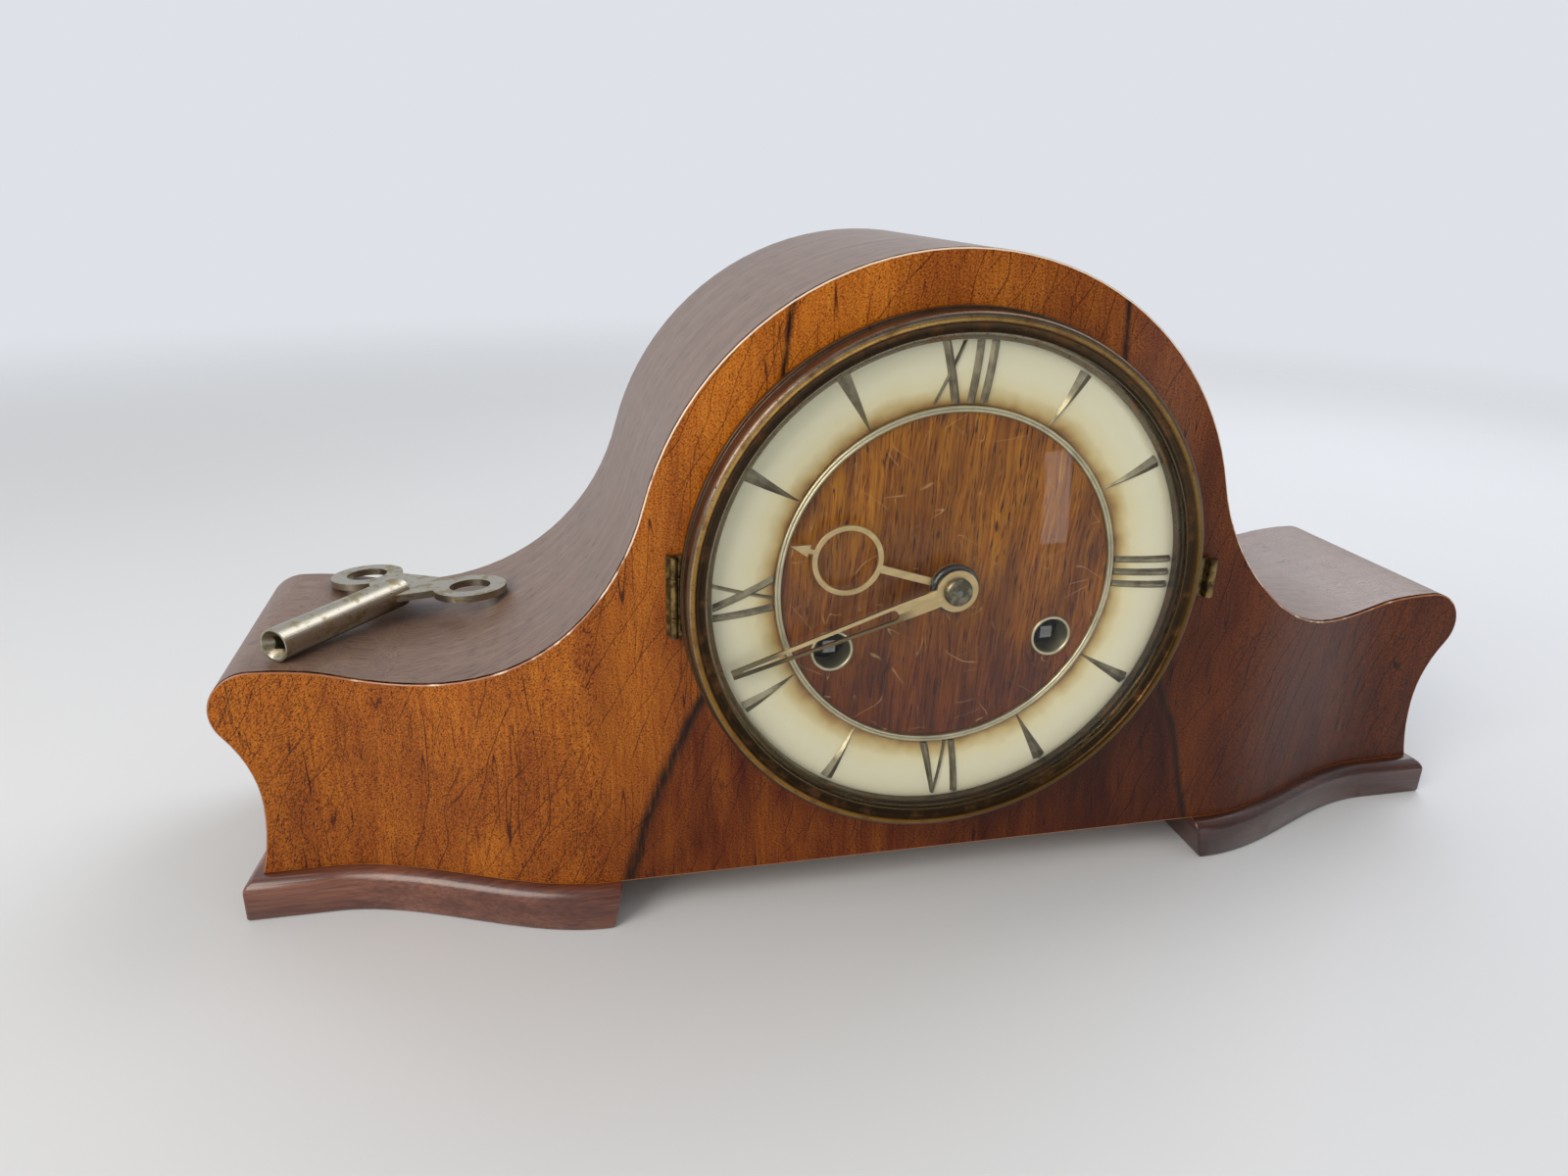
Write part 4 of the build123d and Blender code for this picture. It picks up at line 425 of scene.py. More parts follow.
def bezel_brass(metal):
    """Spun brass under a brown old lacquer: bright on the bead where hands have rubbed it, dark in the hollows, with
    pin-sized pits. Thin pale lines at the inner lip and just outside the bead are painted highlights, and painted
    shade darkens it to the right and downwards."""
    material, tree = new_material("spun_bezel_brass")
    place = from_dial(tree)
    share = add(tree, "MapRange", Value=dial_radius(tree, place), From_Min=67.5, From_Max=76.5)
    # Colour outwards from the inner lip: the thin pale lines at the lip and just outside the bead are painted
    # highlights; the browns in the hollows are tarnish
    film = add(tree, "ValToRGB", {"stops": [
        (0.0, "#8a8069"), (0.15, "#6d6048"), (0.24, "#e0d5bc"), (0.29, "#4a3d2e"), (0.46, "#3d3024"),
        (0.58, "#6a5238"), (0.63, metal.brass[:]), (0.7, metal.brass[:]), (0.735, "#d8c8ac"), (0.765, "#86705f"),
        (1.0, "#7a6656")]}, Fac=share)
    sides = add(tree, "SeparateXYZ", Vector=bent(tree, place, (30, 30, 30), (60, 60, 60))).node.outputs
    pits = patches(tree, place, (0.5, 0.5, 0.5), 2, 0.62, 0.68)
    # Painted shade makes the film browner to the right and darker downwards; stains and pits lie over it
    return surface(material, film, (
        (COLOUR, add(tree, "MapRange", SMOOTH, Value=sides["X"], From_Min=-10, From_Max=60, To_Max=0.6), "#4d3f2c"),
        (MULTIPLY, add(tree, "MapRange", SMOOTH, Value=sides["Z"], From_Min=100, From_Max=0), "#b0a58e"),
        (COLOUR, patches(tree, place, (5, 5, 5), 4, 0.46, 0.72, 0.7), "#6e4a2c"),
        (COLOUR, pits, metal.tarnish[:]),
    ), pits, -0.05, (blotches(tree, place, (2, 2, 2), 3), 0.2, 0.42), Metallic=0.92)


def aged_brass(name="tarnished_brass", bright="#8d7647", dark="#4b3c28"):
    """Small brass fittings gone brown, with a little bright metal at random."""
    return filmed(name, (3, 3, 3), 4, bright, dark, 0.02, (0.3, 0.5), (0.38, 0.62), 0.4, Metallic=0.9)


def ring_metal():
    """The pressed beaded ring between dial and chapter ring: pale gilt with a grey film."""
    return filmed("gilt_inner_ring", (6, 6, 6), 4, "#d8ceb0", "#8a8066", 0.01, 0.3, grit=0.3, Metallic=0.9)


def hand_brass(metal):
    """Stamped brass of the hands, faintly scratched along the length of the long one."""
    material, tree = new_material("stamped_hand_brass")
    place = from_dial(tree, math.radians(HAND_WAY - 270))
    # The long hand lies along this frame: painted shade darkens its lower rail, under the ridge, and it turns grey
    # towards its tip
    radius = dial_radius(tree, place)
    aside = add(tree, "SeparateXYZ", Vector=place).node.outputs["Z"]
    under = add(tree, "Math", TIMES,
                n0=add(tree, "MapRange", SMOOTH, Value=aside, From_Min=0.2, From_Max=-0.4, To_Max=0.75),
                n1=add(tree, "MapRange", SMOOTH, Value=radius, From_Min=12, From_Max=18))
    return surface(material, "#a3875a", (
        (COLOUR, blotches(tree, place, (9, 9, 2), 3), metal.hands[:]),
        # Painted shade on the lower rail of the long hand
        (COLOUR, under, "#5a4930"),
        (COLOUR, add(tree, "MapRange", SMOOTH, Value=radius, From_Min=48, From_Max=54, To_Max=0.8), "#4c4637"),
    ), blotches(tree, place, (5, 0.15, 0.15), 2), 0.008, (blotches(tree, place, (4, 0.2, 0.2), 2), 0.25, 0.45),
        Metallic=1)


def movement_brass():
    """Rolled plate brass of the movement, bright and brushed upright."""
    return filmed("rolled_plate_brass", (0.3, 0.3, 16), 3, "#a3803f", "#c9a65c", 0.01, (0.28, 0.42), Metallic=1)


def steel(metal):
    """Turned and filed steel with a trace of oil stain."""
    return filmed("oiled_steel", (3, 3, 3), 3, "#5c5a58", metal.steel[:], 0.01, (0.3, 0.5), grit=0.2, Metallic=1)


def blued_spring():
    """Spring steel tempered blue, dull with oil."""
    return filmed("blued_spring_steel", (5, 5, 5), 2, "#1f2836", "#45546b", 0.01, 0.35, Metallic=1)


def cast_iron():
    """Painted iron casting of the gong block, grainy and dull."""
    return filmed("painted_cast_iron", (0.8, 0.8, 0.8), 3, "#1c1b1a", "#3a3733", 0.15, 0.6, Metallic=0.2)


def gong_bronze():
    """Drawn bronze rod of the gongs, brown with handling."""
    return filmed("drawn_gong_bronze", (9, 1, 1), 3, "#6d4a28", "#a4763f", 0.01, 0.38, Metallic=1)


def worn_nickel(metal):
    """Nickel plate on a stamped key, dulled and worn to yellow metal in places, with smaller brown spots."""
    material, tree = new_material("worn_nickel_plate")
    place = from_dial(tree)
    worn = patches(tree, place, (5, 5, 3), 4, 0.5, 0.62, 0.8)
    return surface(material, metal.nickel[:], (
        (COLOUR, worn, "#8f8158"),
        (COLOUR, patches(tree, place, (1.2, 1.2, 1.2), 3, 0.62, 0.72, 0.8), "#4a4030"),
    ), blotches(tree, place, (0.6, 0.6, 0.6), 3), 0.05, (worn, 0.34, 0.5), Metallic=1)


# Dial finishes


def cream_enamel(dial):
    """Baked cream enamel on the dished ring, sprayed brown round its inner edge, with tiny specks of age."""
    material, tree = new_material("sprayed_cream_enamel")
    place = from_dial(tree)
    uneven = add(tree, "Math", SUM, n0=blotches(tree, place, (9, 9, 9), 2), n1=5.0, n2=dial_radius(tree, place))
    sprayed = add(tree, "ValToRGB", {"stops": [
        (0.0, dial.airbrush[:]), (0.07, "#9c7238"), (0.17, "#c4a872"), (0.32, "#e2d3b0"), (0.55, dial.cream[:]),
        (0.93, dial.cream[:]), (1.0, "#cdc8b2")]}, Fac=add(tree, "MapRange", Value=uneven, From_Min=52, From_Max=72))
    return surface(material, sprayed, [(COLOUR, patches(tree, place, (0.7, 0.7, 0.7), 1, 0.76, 0.8, 0.5), "#6d5a38")],
                   blotches(tree, place, (0.8, 0.8, 0.8), 2), 0.01, (blotches(tree, place, (3, 3, 3), 2), 0.3, 0.42),
                   Coat_Weight=0.3, Coat_Roughness=0.2)


def dial_walnut(dial):
    """Printed walnut disc under gloss lacquer, with fine pale scratches. It darkens and reddens downwards, so the
    top is lighter and a little olive: a painted reflection of the room in the lacquer."""
    material, tree = new_material("lacquered_dial_walnut")
    place = bent(tree, from_dial(tree, 0.06), (24, 24, 40), (5, 0, 0))
    height = add(tree, "SeparateXYZ", Vector=place).node.outputs["Z"]
    # Fine scratches and lifted fibres, upright in one set and aslant in the others
    scratch = largest(tree, [
        add(tree, "Math", TIMES,
            n0=contours(tree, bent(tree, from_dial(tree, turn), (20, 20, 20), (4, 0, 0)), size, 0.006),
            n1=patches(tree, from_dial(tree, turn), (8, 8, 13), 2, 0.54, 0.62))
        for size, turn in (((2.6, 2.6, 22), 0.08), ((6, 6, 34), 1.2), ((6, 6, 34), -0.9))])
    return surface(material, "#7a4406", (
        (COLOUR, patches(tree, place, (9, 9, 45), 3, 0.3, 0.68), dial.centre[:]),
        # Painted reflection: lighter at the top, darker and redder downwards
        (MULTIPLY, add(tree, "MapRange", SMOOTH, Value=height, From_Min=30, From_Max=-45), "#b08468"),
        (MULTIPLY, patches(tree, place, (0.6, 0.6, 14), 3, 0.38, 0.68, ease=None), "#b98e68"),
        (MULTIPLY, patches(tree, place, (0.35, 0.35, 5), 1, 0.6, 0.68), "#6f4a30"),
        (COLOUR, add(tree, "Math", TIMES, n0=scratch, n1=0.5), "#d0a66c"),
    ), scratch, 0.02, (blotches(tree, place, (2, 2, 9), 2), 0.25, 0.4), IOR=1.25, Coat_Weight=0.3,
        Coat_Roughness=0.02)


def bronzed_marks(dial):
    """Raised hour marks in a dark bronze film, rubbed to pewter in blotches."""
    return filmed("bronzed_hour_mark", (5, 5, 5), 3, "#6a6150", dial.marks[:], 0.02, 0.34, (0.35, 0.65), 0.4,
                  Metallic=0.85)


def black_gloss():
    """Black lacquered boss of the hour hand, glossy with a few dust marks."""
    return filmed("black_lacquer", (0.7, 0.7, 0.7), 3, "#0b0b0d", "#22201f", 0.005, (0.1, 0.22), Coat_Weight=0.6,
                  Coat_Roughness=0.08)


def clear_glass():
    """Blown convex clock glass: clear soda-lime glass with a thin film of dust. Lamps shine straight through it."""
    material, tree = new_material("convex_clock_glass")
    glass = add(tree, "BsdfPrincipled", Base_Color="#fdfefc", IOR=1.22, Transmission_Weight=1,
                Roughness=patches(tree, from_dial(tree), (22, 22, 22), 4, 0.45, 0.75, 0.03))
    paths = add(tree, "LightPath").node.outputs
    lamp = add(tree, "Math", LARGER, n0=paths["Is Shadow Ray"], n1=paths["Is Diffuse Ray"])
    mixed = add(tree, "MixShader", n0=lamp, n1=glass, n2=add(tree, "BsdfTransparent", Color="#f7faf6"))
    add(tree, "OutputMaterial", Surface=mixed)
    return material


# Shapes


def dress(piece, node):
    """Lets a piece stand for a CAD node: the node is hidden and the piece rides on its body."""
    source = frame["nodes"][node]
    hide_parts(node)
    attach(piece, source["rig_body"])
    return piece


def paint(material, *nodes):
    """Gives CAD nodes a better material."""
    for node in nodes:
        slots = frame["nodes"][node].data.materials
        for number in range(len(slots)):
            slots[number] = material


def smooth(mesh, angle=30):
    """Smooth shading, with edges where faces meet at more than an angle in degrees."""
    mesh.shade_smooth()
    mesh.set_sharp_from_angle(angle=math.radians(angle))


def round_edges(piece, width, angle, clamp=True):
    """Rounds the edges where faces meet at more than an angle in degrees, and returns the modifier."""
    rounding = piece.modifiers.new("Edges", "BEVEL")
    rounding.width, rounding.segments = width, 2
    rounding.limit_method, rounding.angle_limit = "ANGLE", math.radians(angle)
    rounding.harden_normals, rounding.use_clamp_overlap = True, clamp
    return rounding


def new_piece(name, data):
    """Puts a mesh, a light or a camera into the scene as an object."""
    piece = bpy.data.objects.new(name, data)
    bpy.context.scene.collection.objects.link(piece)
    return piece


def copy_of(node, name, *materials, edge=0.0, clamp=True):
    """A finished copy of a CAD node, with edges rounded by a width; a second material goes on the rounding."""
    work = bmesh.new()
    work.from_mesh(frame["nodes"][node].data)
    bmesh.ops.remove_doubles(work, verts=work.verts, dist=1e-6)
    bmesh.ops.dissolve_limit(work, angle_limit=math.radians(0.2), verts=work.verts, edges=work.edges)
    for face in work.faces:
        face.material_index = 0
    mesh = bpy.data.meshes.new(name)
    work.to_mesh(mesh)
    work.free()
    for material in materials:
        mesh.materials.append(material)
    smooth(mesh)
    piece = new_piece(name, mesh)
    if edge:
        rounding = round_edges(piece, edge, 35, clamp)
        if len(materials) > 1:
            rounding.material = 1
    return dress(piece, node)


def new_tree(name, sockets):
    """An empty geometry-node tree and what its input node gives; sockets are its (name, kind) inputs."""
    tree = bpy.data.node_groups.new(name, "GeometryNodeTree")
    tree.interface.new_socket("Geometry", in_out="INPUT", socket_type="NodeSocketGeometry")
    for label, kind in sockets:
        tree.interface.new_socket(label, in_out="INPUT", socket_type="NodeSocket" + kind)
    tree.interface.new_socket("Geometry", in_out="OUTPUT", socket_type="NodeSocketGeometry")
    return tree, tree.nodes.new("NodeGroupInput").outputs


# Radius of the circle that a section is swept along; the shape is the same with any
BASE_RADIUS = 50


def turning_tree():
    """Turns a section round the dial's axis and sets copies of it out in a row."""
    tree, given = new_tree("turned_section", [
        ("Base radius", "Float"), ("Segments", "Int"), ("Copies", "Int"), ("First place", "Vector"),
        ("Step", "Vector"), ("Material", "Material")])
    shift = add(tree, "Math", TIMES, n0=given["Base radius"], n1=-1)
    section = add(tree, "GeometryNodeMeshToCurve", Mesh=given["Geometry"])
    section = add(tree, "GeometryNodeTransform", Geometry=section,
                  Translation=add(tree, "CombineXYZ", X=shift))
    circle = add(tree, "GeometryNodeCurvePrimitiveCircle", Resolution=given["Segments"], Radius=given["Base radius"])
    shell = add(tree, "GeometryNodeCurveToMesh", n0=circle, n1=section)
    shell = add(tree, "GeometryNodeTransform", Geometry=shell, Rotation=(-math.pi / 2, 0, 0))
    row = add(tree, "GeometryNodeMeshLine", {"mode": "OFFSET"}, Count=given["Copies"],
              Start_Location=given["First place"], Offset=given["Step"])
    placed = add(tree, "GeometryNodeInstanceOnPoints", Points=row, Instance=shell)
    whole = add(tree, "GeometryNodeMergeByDistance", n0=add(tree, "GeometryNodeRealizeInstances", Geometry=placed),
                Distance=1e-6)
    done = add(tree, "GeometryNodeSetMaterial", Geometry=whole, Material=given["Material"])
    add(tree, "NodeGroupOutput", Geometry=done)
    return tree


def hour_tree():
    """Sets one mark out round the dial at each hour that has no numeral."""
    tree, given = new_tree("hour_wedges", [
        ("Hours", "Int"), ("Numeral every", "Int"), ("Centre", "Vector"), ("Material", "Material")])
    points = add(tree, "GeometryNodePoints", Count=given["Hours"], Position=given["Centre"])
    number = add(tree, "GeometryNodeInputIndex")
    rest = add(tree, "Math", {"operation": "MODULO"}, n0=number, n1=given["Numeral every"])
    plain = add(tree, "FunctionNodeCompare", {"operation": "GREATER_THAN"}, n0=rest, n1=0.5)
    turn = add(tree, "Math", {"operation": "DIVIDE"}, n0=2 * math.pi, n1=given["Hours"])
    turn = add(tree, "Math", TIMES, n0=turn, n1=number)
    placed = add(tree, "GeometryNodeInstanceOnPoints", Points=points, Selection=plain, Instance=given["Geometry"],
                 Rotation=add(tree, "CombineXYZ", Y=turn))
    done = add(tree, "GeometryNodeSetMaterial", Material=given["Material"],
               Geometry=add(tree, "GeometryNodeRealizeInstances", Geometry=placed))
    add(tree, "NodeGroupOutput", Geometry=done)
    return tree


def grow(name, tree, mesh, **inputs):
    """Runs a tree on a mesh with its inputs by name, and returns the result as a plain closed mesh."""
    piece = new_piece(name, mesh)
    maker = piece.modifiers.new("Maker", "NODES")
    maker.node_group = tree
    for item in tree.interface.items_tree:
        label = item.name.replace(" ", "_")
        if item.in_out == "INPUT" and label in inputs:
            maker[item.identifier] = inputs[label]
    graph = bpy.context.evaluated_depsgraph_get()
    grown = bpy.data.meshes.new_from_object(piece.evaluated_get(graph))
    piece.modifiers.remove(maker)
    work = bmesh.new()
    work.from_mesh(grown)
    bmesh.ops.recalc_face_normals(work, faces=work.faces)
    work.to_mesh(grown)
    work.free()
    piece.data = grown
    smooth(grown)
    return piece


def arc(start, middle, end, steps=9):
    """Points of the arc through three points of a section, without its start."""
    (ax, ay), (bx, by), (cx, cy) = start, middle, end
    twice = 2 * (ax * (by - cy) + bx * (cy - ay) + cx * (ay - by))
    a, b, c = ax * ax + ay * ay, bx * bx + by * by, cx * cx + cy * cy
    x = (a * (by - cy) + b * (cy - ay) + c * (ay - by)) / twice
    y = (a * (cx - bx) + b * (ax - cx) + c * (bx - ax)) / twice
    radius = math.hypot(ax - x, ay - y)
    first = math.atan2(ay - y, ax - x)
    turn, half = [(math.atan2(q - y, p - x) - first) % math.tau for p, q in (end, middle)]
    if half > turn:
        turn -= math.tau
    return [(x + radius * math.cos(first + turn * i / steps), y + radius * math.sin(first + turn * i / steps))
            for i in range(1, steps + 1)]


def turned(name, tree, material, section, node, closed=True, places=((0, 0),), edge=0.0):
    """A turned piece from its section, (radius, height over the case front) points in millimetres."""
    mesh = bpy.data.meshes.new(name + "_section")
    count = len(section)
    mesh.from_pydata([(r * MM, h * MM, 0) for r, h in section],
                     [(i, (i + 1) % count) for i in range(count if closed else count - 1)], [])
    spots = [Vector((DIAL.x + x * MM, DIAL.y, DIAL.z + z * MM)) for x, z in places]
    piece = grow(name, tree, mesh, Base_radius=BASE_RADIUS * MM, Segments=bpy.context.scene.clock_metal.segments,
                 Copies=len(spots), First_place=spots[0], Step=spots[-1] - spots[0], Material=material)
    if edge:
        round_edges(piece, edge * MM, 40)
    return dress(piece, node)


# The dished face of the chapter ring, and the strokes of its numerals: the left and right edge at the inner end, then
# at the outer end, in millimetres aside from the hour's line
RING_FACE = [(50.2, 1.4)] + arc((50.2, 1.4), (66.8, 3.1), (69.5, 2.9), 16)
MARK_RADII = (50.6, 67.2)
WEDGE = (-0.15, 0.15, -1.95, 1.95)
# How deep a mark is sunk in the ring, the height of its upright sides, and the width at which it is fully raised
MARK_SUNK, MARK_SIDE, MARK_FULL = 0.2, 0.25, 2.4
NUMERALS = {
    0: ((-3.4, -0.9, -7.7, -5.3), (-8.6, -7.5, -1.8, -0.7), (0.9, 3.2, 1.9, 4.1), (4.5, 6.9, 5.9, 8.2)),
    3: ((-5.2, -3.2, -5.2, -3.0), (-1.4, 0.6, -1.2, 1.1), (2.2, 4.2, 2.7, 5.0)),
    6: ((2.4, 4.9, -0.3, 0.9), (-3.5, -2.4, -0.4, 0.6), (-6.1, -4.0, -7.7, -5.5)),
    9: ((2.4, 4.8, -4.4, -2.0), (-2.2, -1.1, 2.6, 3.8), (-5.5, -3.3, -7.2, -5.1)),
}


def face_height(radius):
    """Height of the ring's face at a radius."""
    return float(np.interp(radius, *zip(*RING_FACE)))


def add_stroke(work, edges, hour, relief, crest, centre, steps=8):
    """Adds a ridged stroke that follows the ring's face. Crest is the flat share of its width."""
    inner_left, inner_right, outer_left, outer_right = edges
    turn = math.tau * hour / HOURS
    rows = []
    for step in range(steps + 1):
        share = step / steps
        radius = MARK_RADII[0] + (MARK_RADII[1] - MARK_RADII[0]) * share
        left = inner_left + (outer_left - inner_left) * share
        right = inner_right + (outer_right - inner_right) * share
        low, wide = face_height(radius) - MARK_SUNK, right - left
        top = low + MARK_SUNK + relief * min(1, 0.25 + wide / MARK_FULL)
        slope = wide * (1 - crest) / 2
        row = []
        for aside, height in ((left, low), (left, low + MARK_SIDE), (left + slope, top), (right - slope, top),
                              (right, low + MARK_SIDE), (right, low)):
            x = aside * math.cos(turn) + radius * math.sin(turn)
            z = radius * math.cos(turn) - aside * math.sin(turn)
            row.append(work.verts.new(centre + Vector((x, -height, z)) * MM))
        rows.append(row)
    for near, far in zip(rows, rows[1:]):
        for i in range(len(near)):
            after = (i + 1) % len(near)
            work.faces.new((near[i], near[after], far[after], far[i]))
    work.faces.new(rows[0])
    work.faces.new(list(reversed(rows[-1])))


# Operators

# Height of a point low in the case that every part of the hood faces, and the winding holes from the dial's middle
EYE_HEIGHT = 50
WINDING_HOLES = ((33.2, -18.6), (-33.2, -18.6))
# Where the ridge of the long hand begins, from its middle
HUB_END = 16
LAMPS_AIM = Vector((0, 0, 0.09))


class CLOCK_OT_front(bpy.types.Operator):
    """Veneers the case front in figured walnut with a worn edge"""

    bl_idname = "clock.front"
    bl_label = "Front Veneer"

    def execute(self, context):
        wood = context.scene.clock_wood
        # The front edge's paler colour, rising towards the top, is worn varnish with a painted highlight on the rounded
        # arris
        piece = copy_of("front_veneer", "walnut_front", figured_walnut(wood),
                        veneer_edge("rubbed_front_edge", "#a4632f", "#ecd3b8", 0.004, 0.6),
                        veneer_edge("dark_glue_line", "#2a1208", "#4a2612", 0, 0), edge=0.45 * MM, clamp=False)
        # The thin sides of the veneer show its glue line
        for face in piece.data.polygons:
            if abs(face.normal.y) < 0.3:
                face.material_index = 2
        return {"FINISHED"}


class CLOCK_OT_hood(bpy.types.Operator):
    """Covers the bent hood in plain walnut with its grain along the bend"""

    bl_idname = "clock.hood"
    bl_label = "Hood"

    def execute(self, context):
        wood = context.scene.clock_wood
        piece = copy_of("case_wrap", "walnut_hood", hood_walnut(wood),
                        veneer_edge("dark_hood_edge", "#2a140b", "#5a392a", 0, 0), edge=wood.round_edge)
        mesh = piece.data
        # The outline goes once round a point low in the case, so an angle from there gives the way along it
        eye = Vector((DIAL.x, 0, EYE_HEIGHT * MM))
        round_it = [math.atan2(v.co.z - eye.z, v.co.x - eye.x) for v in mesh.vertices]
        outer = sorted((round_it[v.index], v.co.x, v.co.z) for v in mesh.vertices
                       if (v.co - eye).x * v.normal.x + (v.co - eye).z * v.normal.z > 0)
        steps = [math.hypot(b[1] - a[1], b[2] - a[2]) for a, b in zip(outer, outer[1:])]
        ways = np.interp(round_it, [angle for angle, _, _ in outer], np.cumsum([0, *steps]))
        grain = mesh.attributes.new("grain", "FLOAT_VECTOR", "POINT")
        for vertex, way in zip(mesh.vertices, ways):
            grain.data[vertex.index].vector = (way / MM, vertex.co.y / MM, 0)
        return {"FINISHED"}


class CLOCK_OT_feet(bpy.types.Operator):
    """Stains the two moulded feet"""

    bl_idname = "clock.feet"
    bl_label = "Feet"

    def execute(self, context):
        material = foot_wood(context.scene.clock_wood)
        for side in ("left", "right"):
            copy_of("foot_" + side, "moulded_foot_" + side, material, edge=0.9 * MM, clamp=False)
        return {"FINISHED"}


class CLOCK_OT_back(bpy.types.Operator):
    """Finishes the boards, the rear door and its fittings"""

    bl_idname = "clock.back"
    bl_label = "Boards and Rear Door"

    def execute(self, context):
        board = board_wood(context.scene.clock_wood)
        brass = aged_brass()
        paint(board, "front_board", "base_board")
        copy_of("back_frame", "rear_frame_board", board, edge=0.3 * MM)
        copy_of("rear_door", "rear_door_board", board, edge=0.4 * MM)
        paint(brass, "rear_hinge_door_leaves", "rear_hinge_frame_leaves", "rear_turn_button")
        paint(steel(context.scene.clock_metal), "foot_screws")
        return {"FINISHED"}


class CLOCK_OT_bezel(bpy.types.Operator):
    """Turns the bezel, its glass and the ring behind it, and ages the hinge and tab"""

    bl_idname = "clock.bezel"
    bl_label = "Bezel and Glass"

    def execute(self, context):
        metal = context.scene.clock_metal
        tree = turning_tree()
        brass = bezel_brass(metal)
        aged = aged_brass()
        section = [(74.6, 1.0), (76.0, 1.0), (76.0, 3.4), (75.2, 3.4), (75.2, 8.2)]
        section += arc(section[-1], (73.8, 9.6), (72.3, 8.8), 12)
        section += arc(section[-1], (71.2, 8.6), (69.8, 8.9), 8)
        section += [(69.8, 8.1), (70.8, 8.1), (70.8, 4.6), (74.6, 4.6)]
        turned("spun_bezel", tree, brass, section, "bezel", edge=0.15)
        section = [(0, 16.2)] + arc((0, 16.2), (35.2, 13.74), (70.4, 6.2), 24) + [(70.4, 7.8)]
        section += arc(section[-1], (35.2, 15.34), (0, 17.8), 24)
        turned("convex_glass", tree, clear_glass(), section, "glass", closed=False)
        section = [(67.9, 3.8), (68.7, 3.8), (68.7, 5.4), (70.75, 5.4), (70.75, 6.2), (67.9, 6.2)]
        turned("pressed_glass_ring", tree, brass, section, "glass_ring", edge=0.1)
        copy_of("bezel_hinge_leaf", "hinge_frame_leaf", aged, edge=0.1 * MM)
        copy_of("bezel_hinge_door_leaf", "hinge_door_leaf", aged, edge=0.1 * MM)
        copy_of("bezel_tab", "lifting_tab", aged, edge=0.15 * MM)
        return {"FINISHED"}


class CLOCK_OT_dial(bpy.types.Operator):
    """Makes the enamelled ring, the beaded ring, the walnut disc and the winding grommets"""

    bl_idname = "clock.dial"
    bl_label = "Dial"

    def execute(self, context):
        dial = context.scene.clock_dial
        tree = turning_tree()
        under = [(r, h - 0.6) for r, h in reversed(RING_FACE[:-2])]
        section = RING_FACE + [(69.5, 0.8), (68.9, 0.8)] + under
        turned("enamelled_chapter_ring", tree, cream_enamel(dial), section, "chapter_ring", edge=0.1)
        section = [(48.3, 0.8), (50.15, 0.8), (50.15, 2.3)]
        section += arc(section[-1], (49.65, 2.8), (49.225, 2.563), 7)
        section += arc(section[-1], (48.8, 2.8), (48.3, 2.3), 7)
        turned("beaded_inner_ring", tree, ring_metal(), section, "inner_ring")
        section = [(5.2, -5.0), (5.7, -5.0), (5.7, 1.6), (6.2, 1.6), (6.2, 2.05)]
        section += arc(section[-1], (5.85, 2.5), (5.3, 2.2), 7) + [(5.2, 2.0)]
        turned("winding_eyelets", tree, ring_metal(), section, "winding_grommets",
               places=WINDING_HOLES)
        copy_of("dial_centre", "walnut_disc", dial_walnut(dial))
        paint(aged_brass(), "dial_plate")
        paint(steel(context.scene.clock_metal), "dial_screws")
        return {"FINISHED"}


class CLOCK_OT_marks(bpy.types.Operator):
    """Sets the numerals and the wedges between them on the chapter ring"""

    bl_idname = "clock.marks"
    bl_label = "Hour Marks"

    def execute(self, context):
        dial = context.scene.clock_dial
        relief = dial.relief / MM
        material = bronzed_marks(dial)
        work = bmesh.new()
        add_stroke(work, WEDGE, 0, relief, 0.04, Vector())
        mesh = bpy.data.meshes.new("wedge")
        work.to_mesh(mesh)
        work.free()
        piece = grow("hour_wedges_and_numerals", hour_tree(), mesh, Hours=dial.hours, Numeral_every=3, Centre=DIAL,
                     Material=material)
        work = bmesh.new()
        work.from_mesh(piece.data)
        for hour, strokes in NUMERALS.items():
            for edges in strokes:
                add_stroke(work, edges, hour, relief, 0.3, DIAL)
        bmesh.ops.recalc_face_normals(work, faces=work.faces)
        work.to_mesh(piece.data)
        work.free()
        smooth(piece.data, 20)
        piece.data.materials.clear()
        piece.data.materials.append(material)
        for face in piece.data.polygons:
            face.material_index = 0
        dress(piece, "hour_marks")
        return {"FINISHED"}


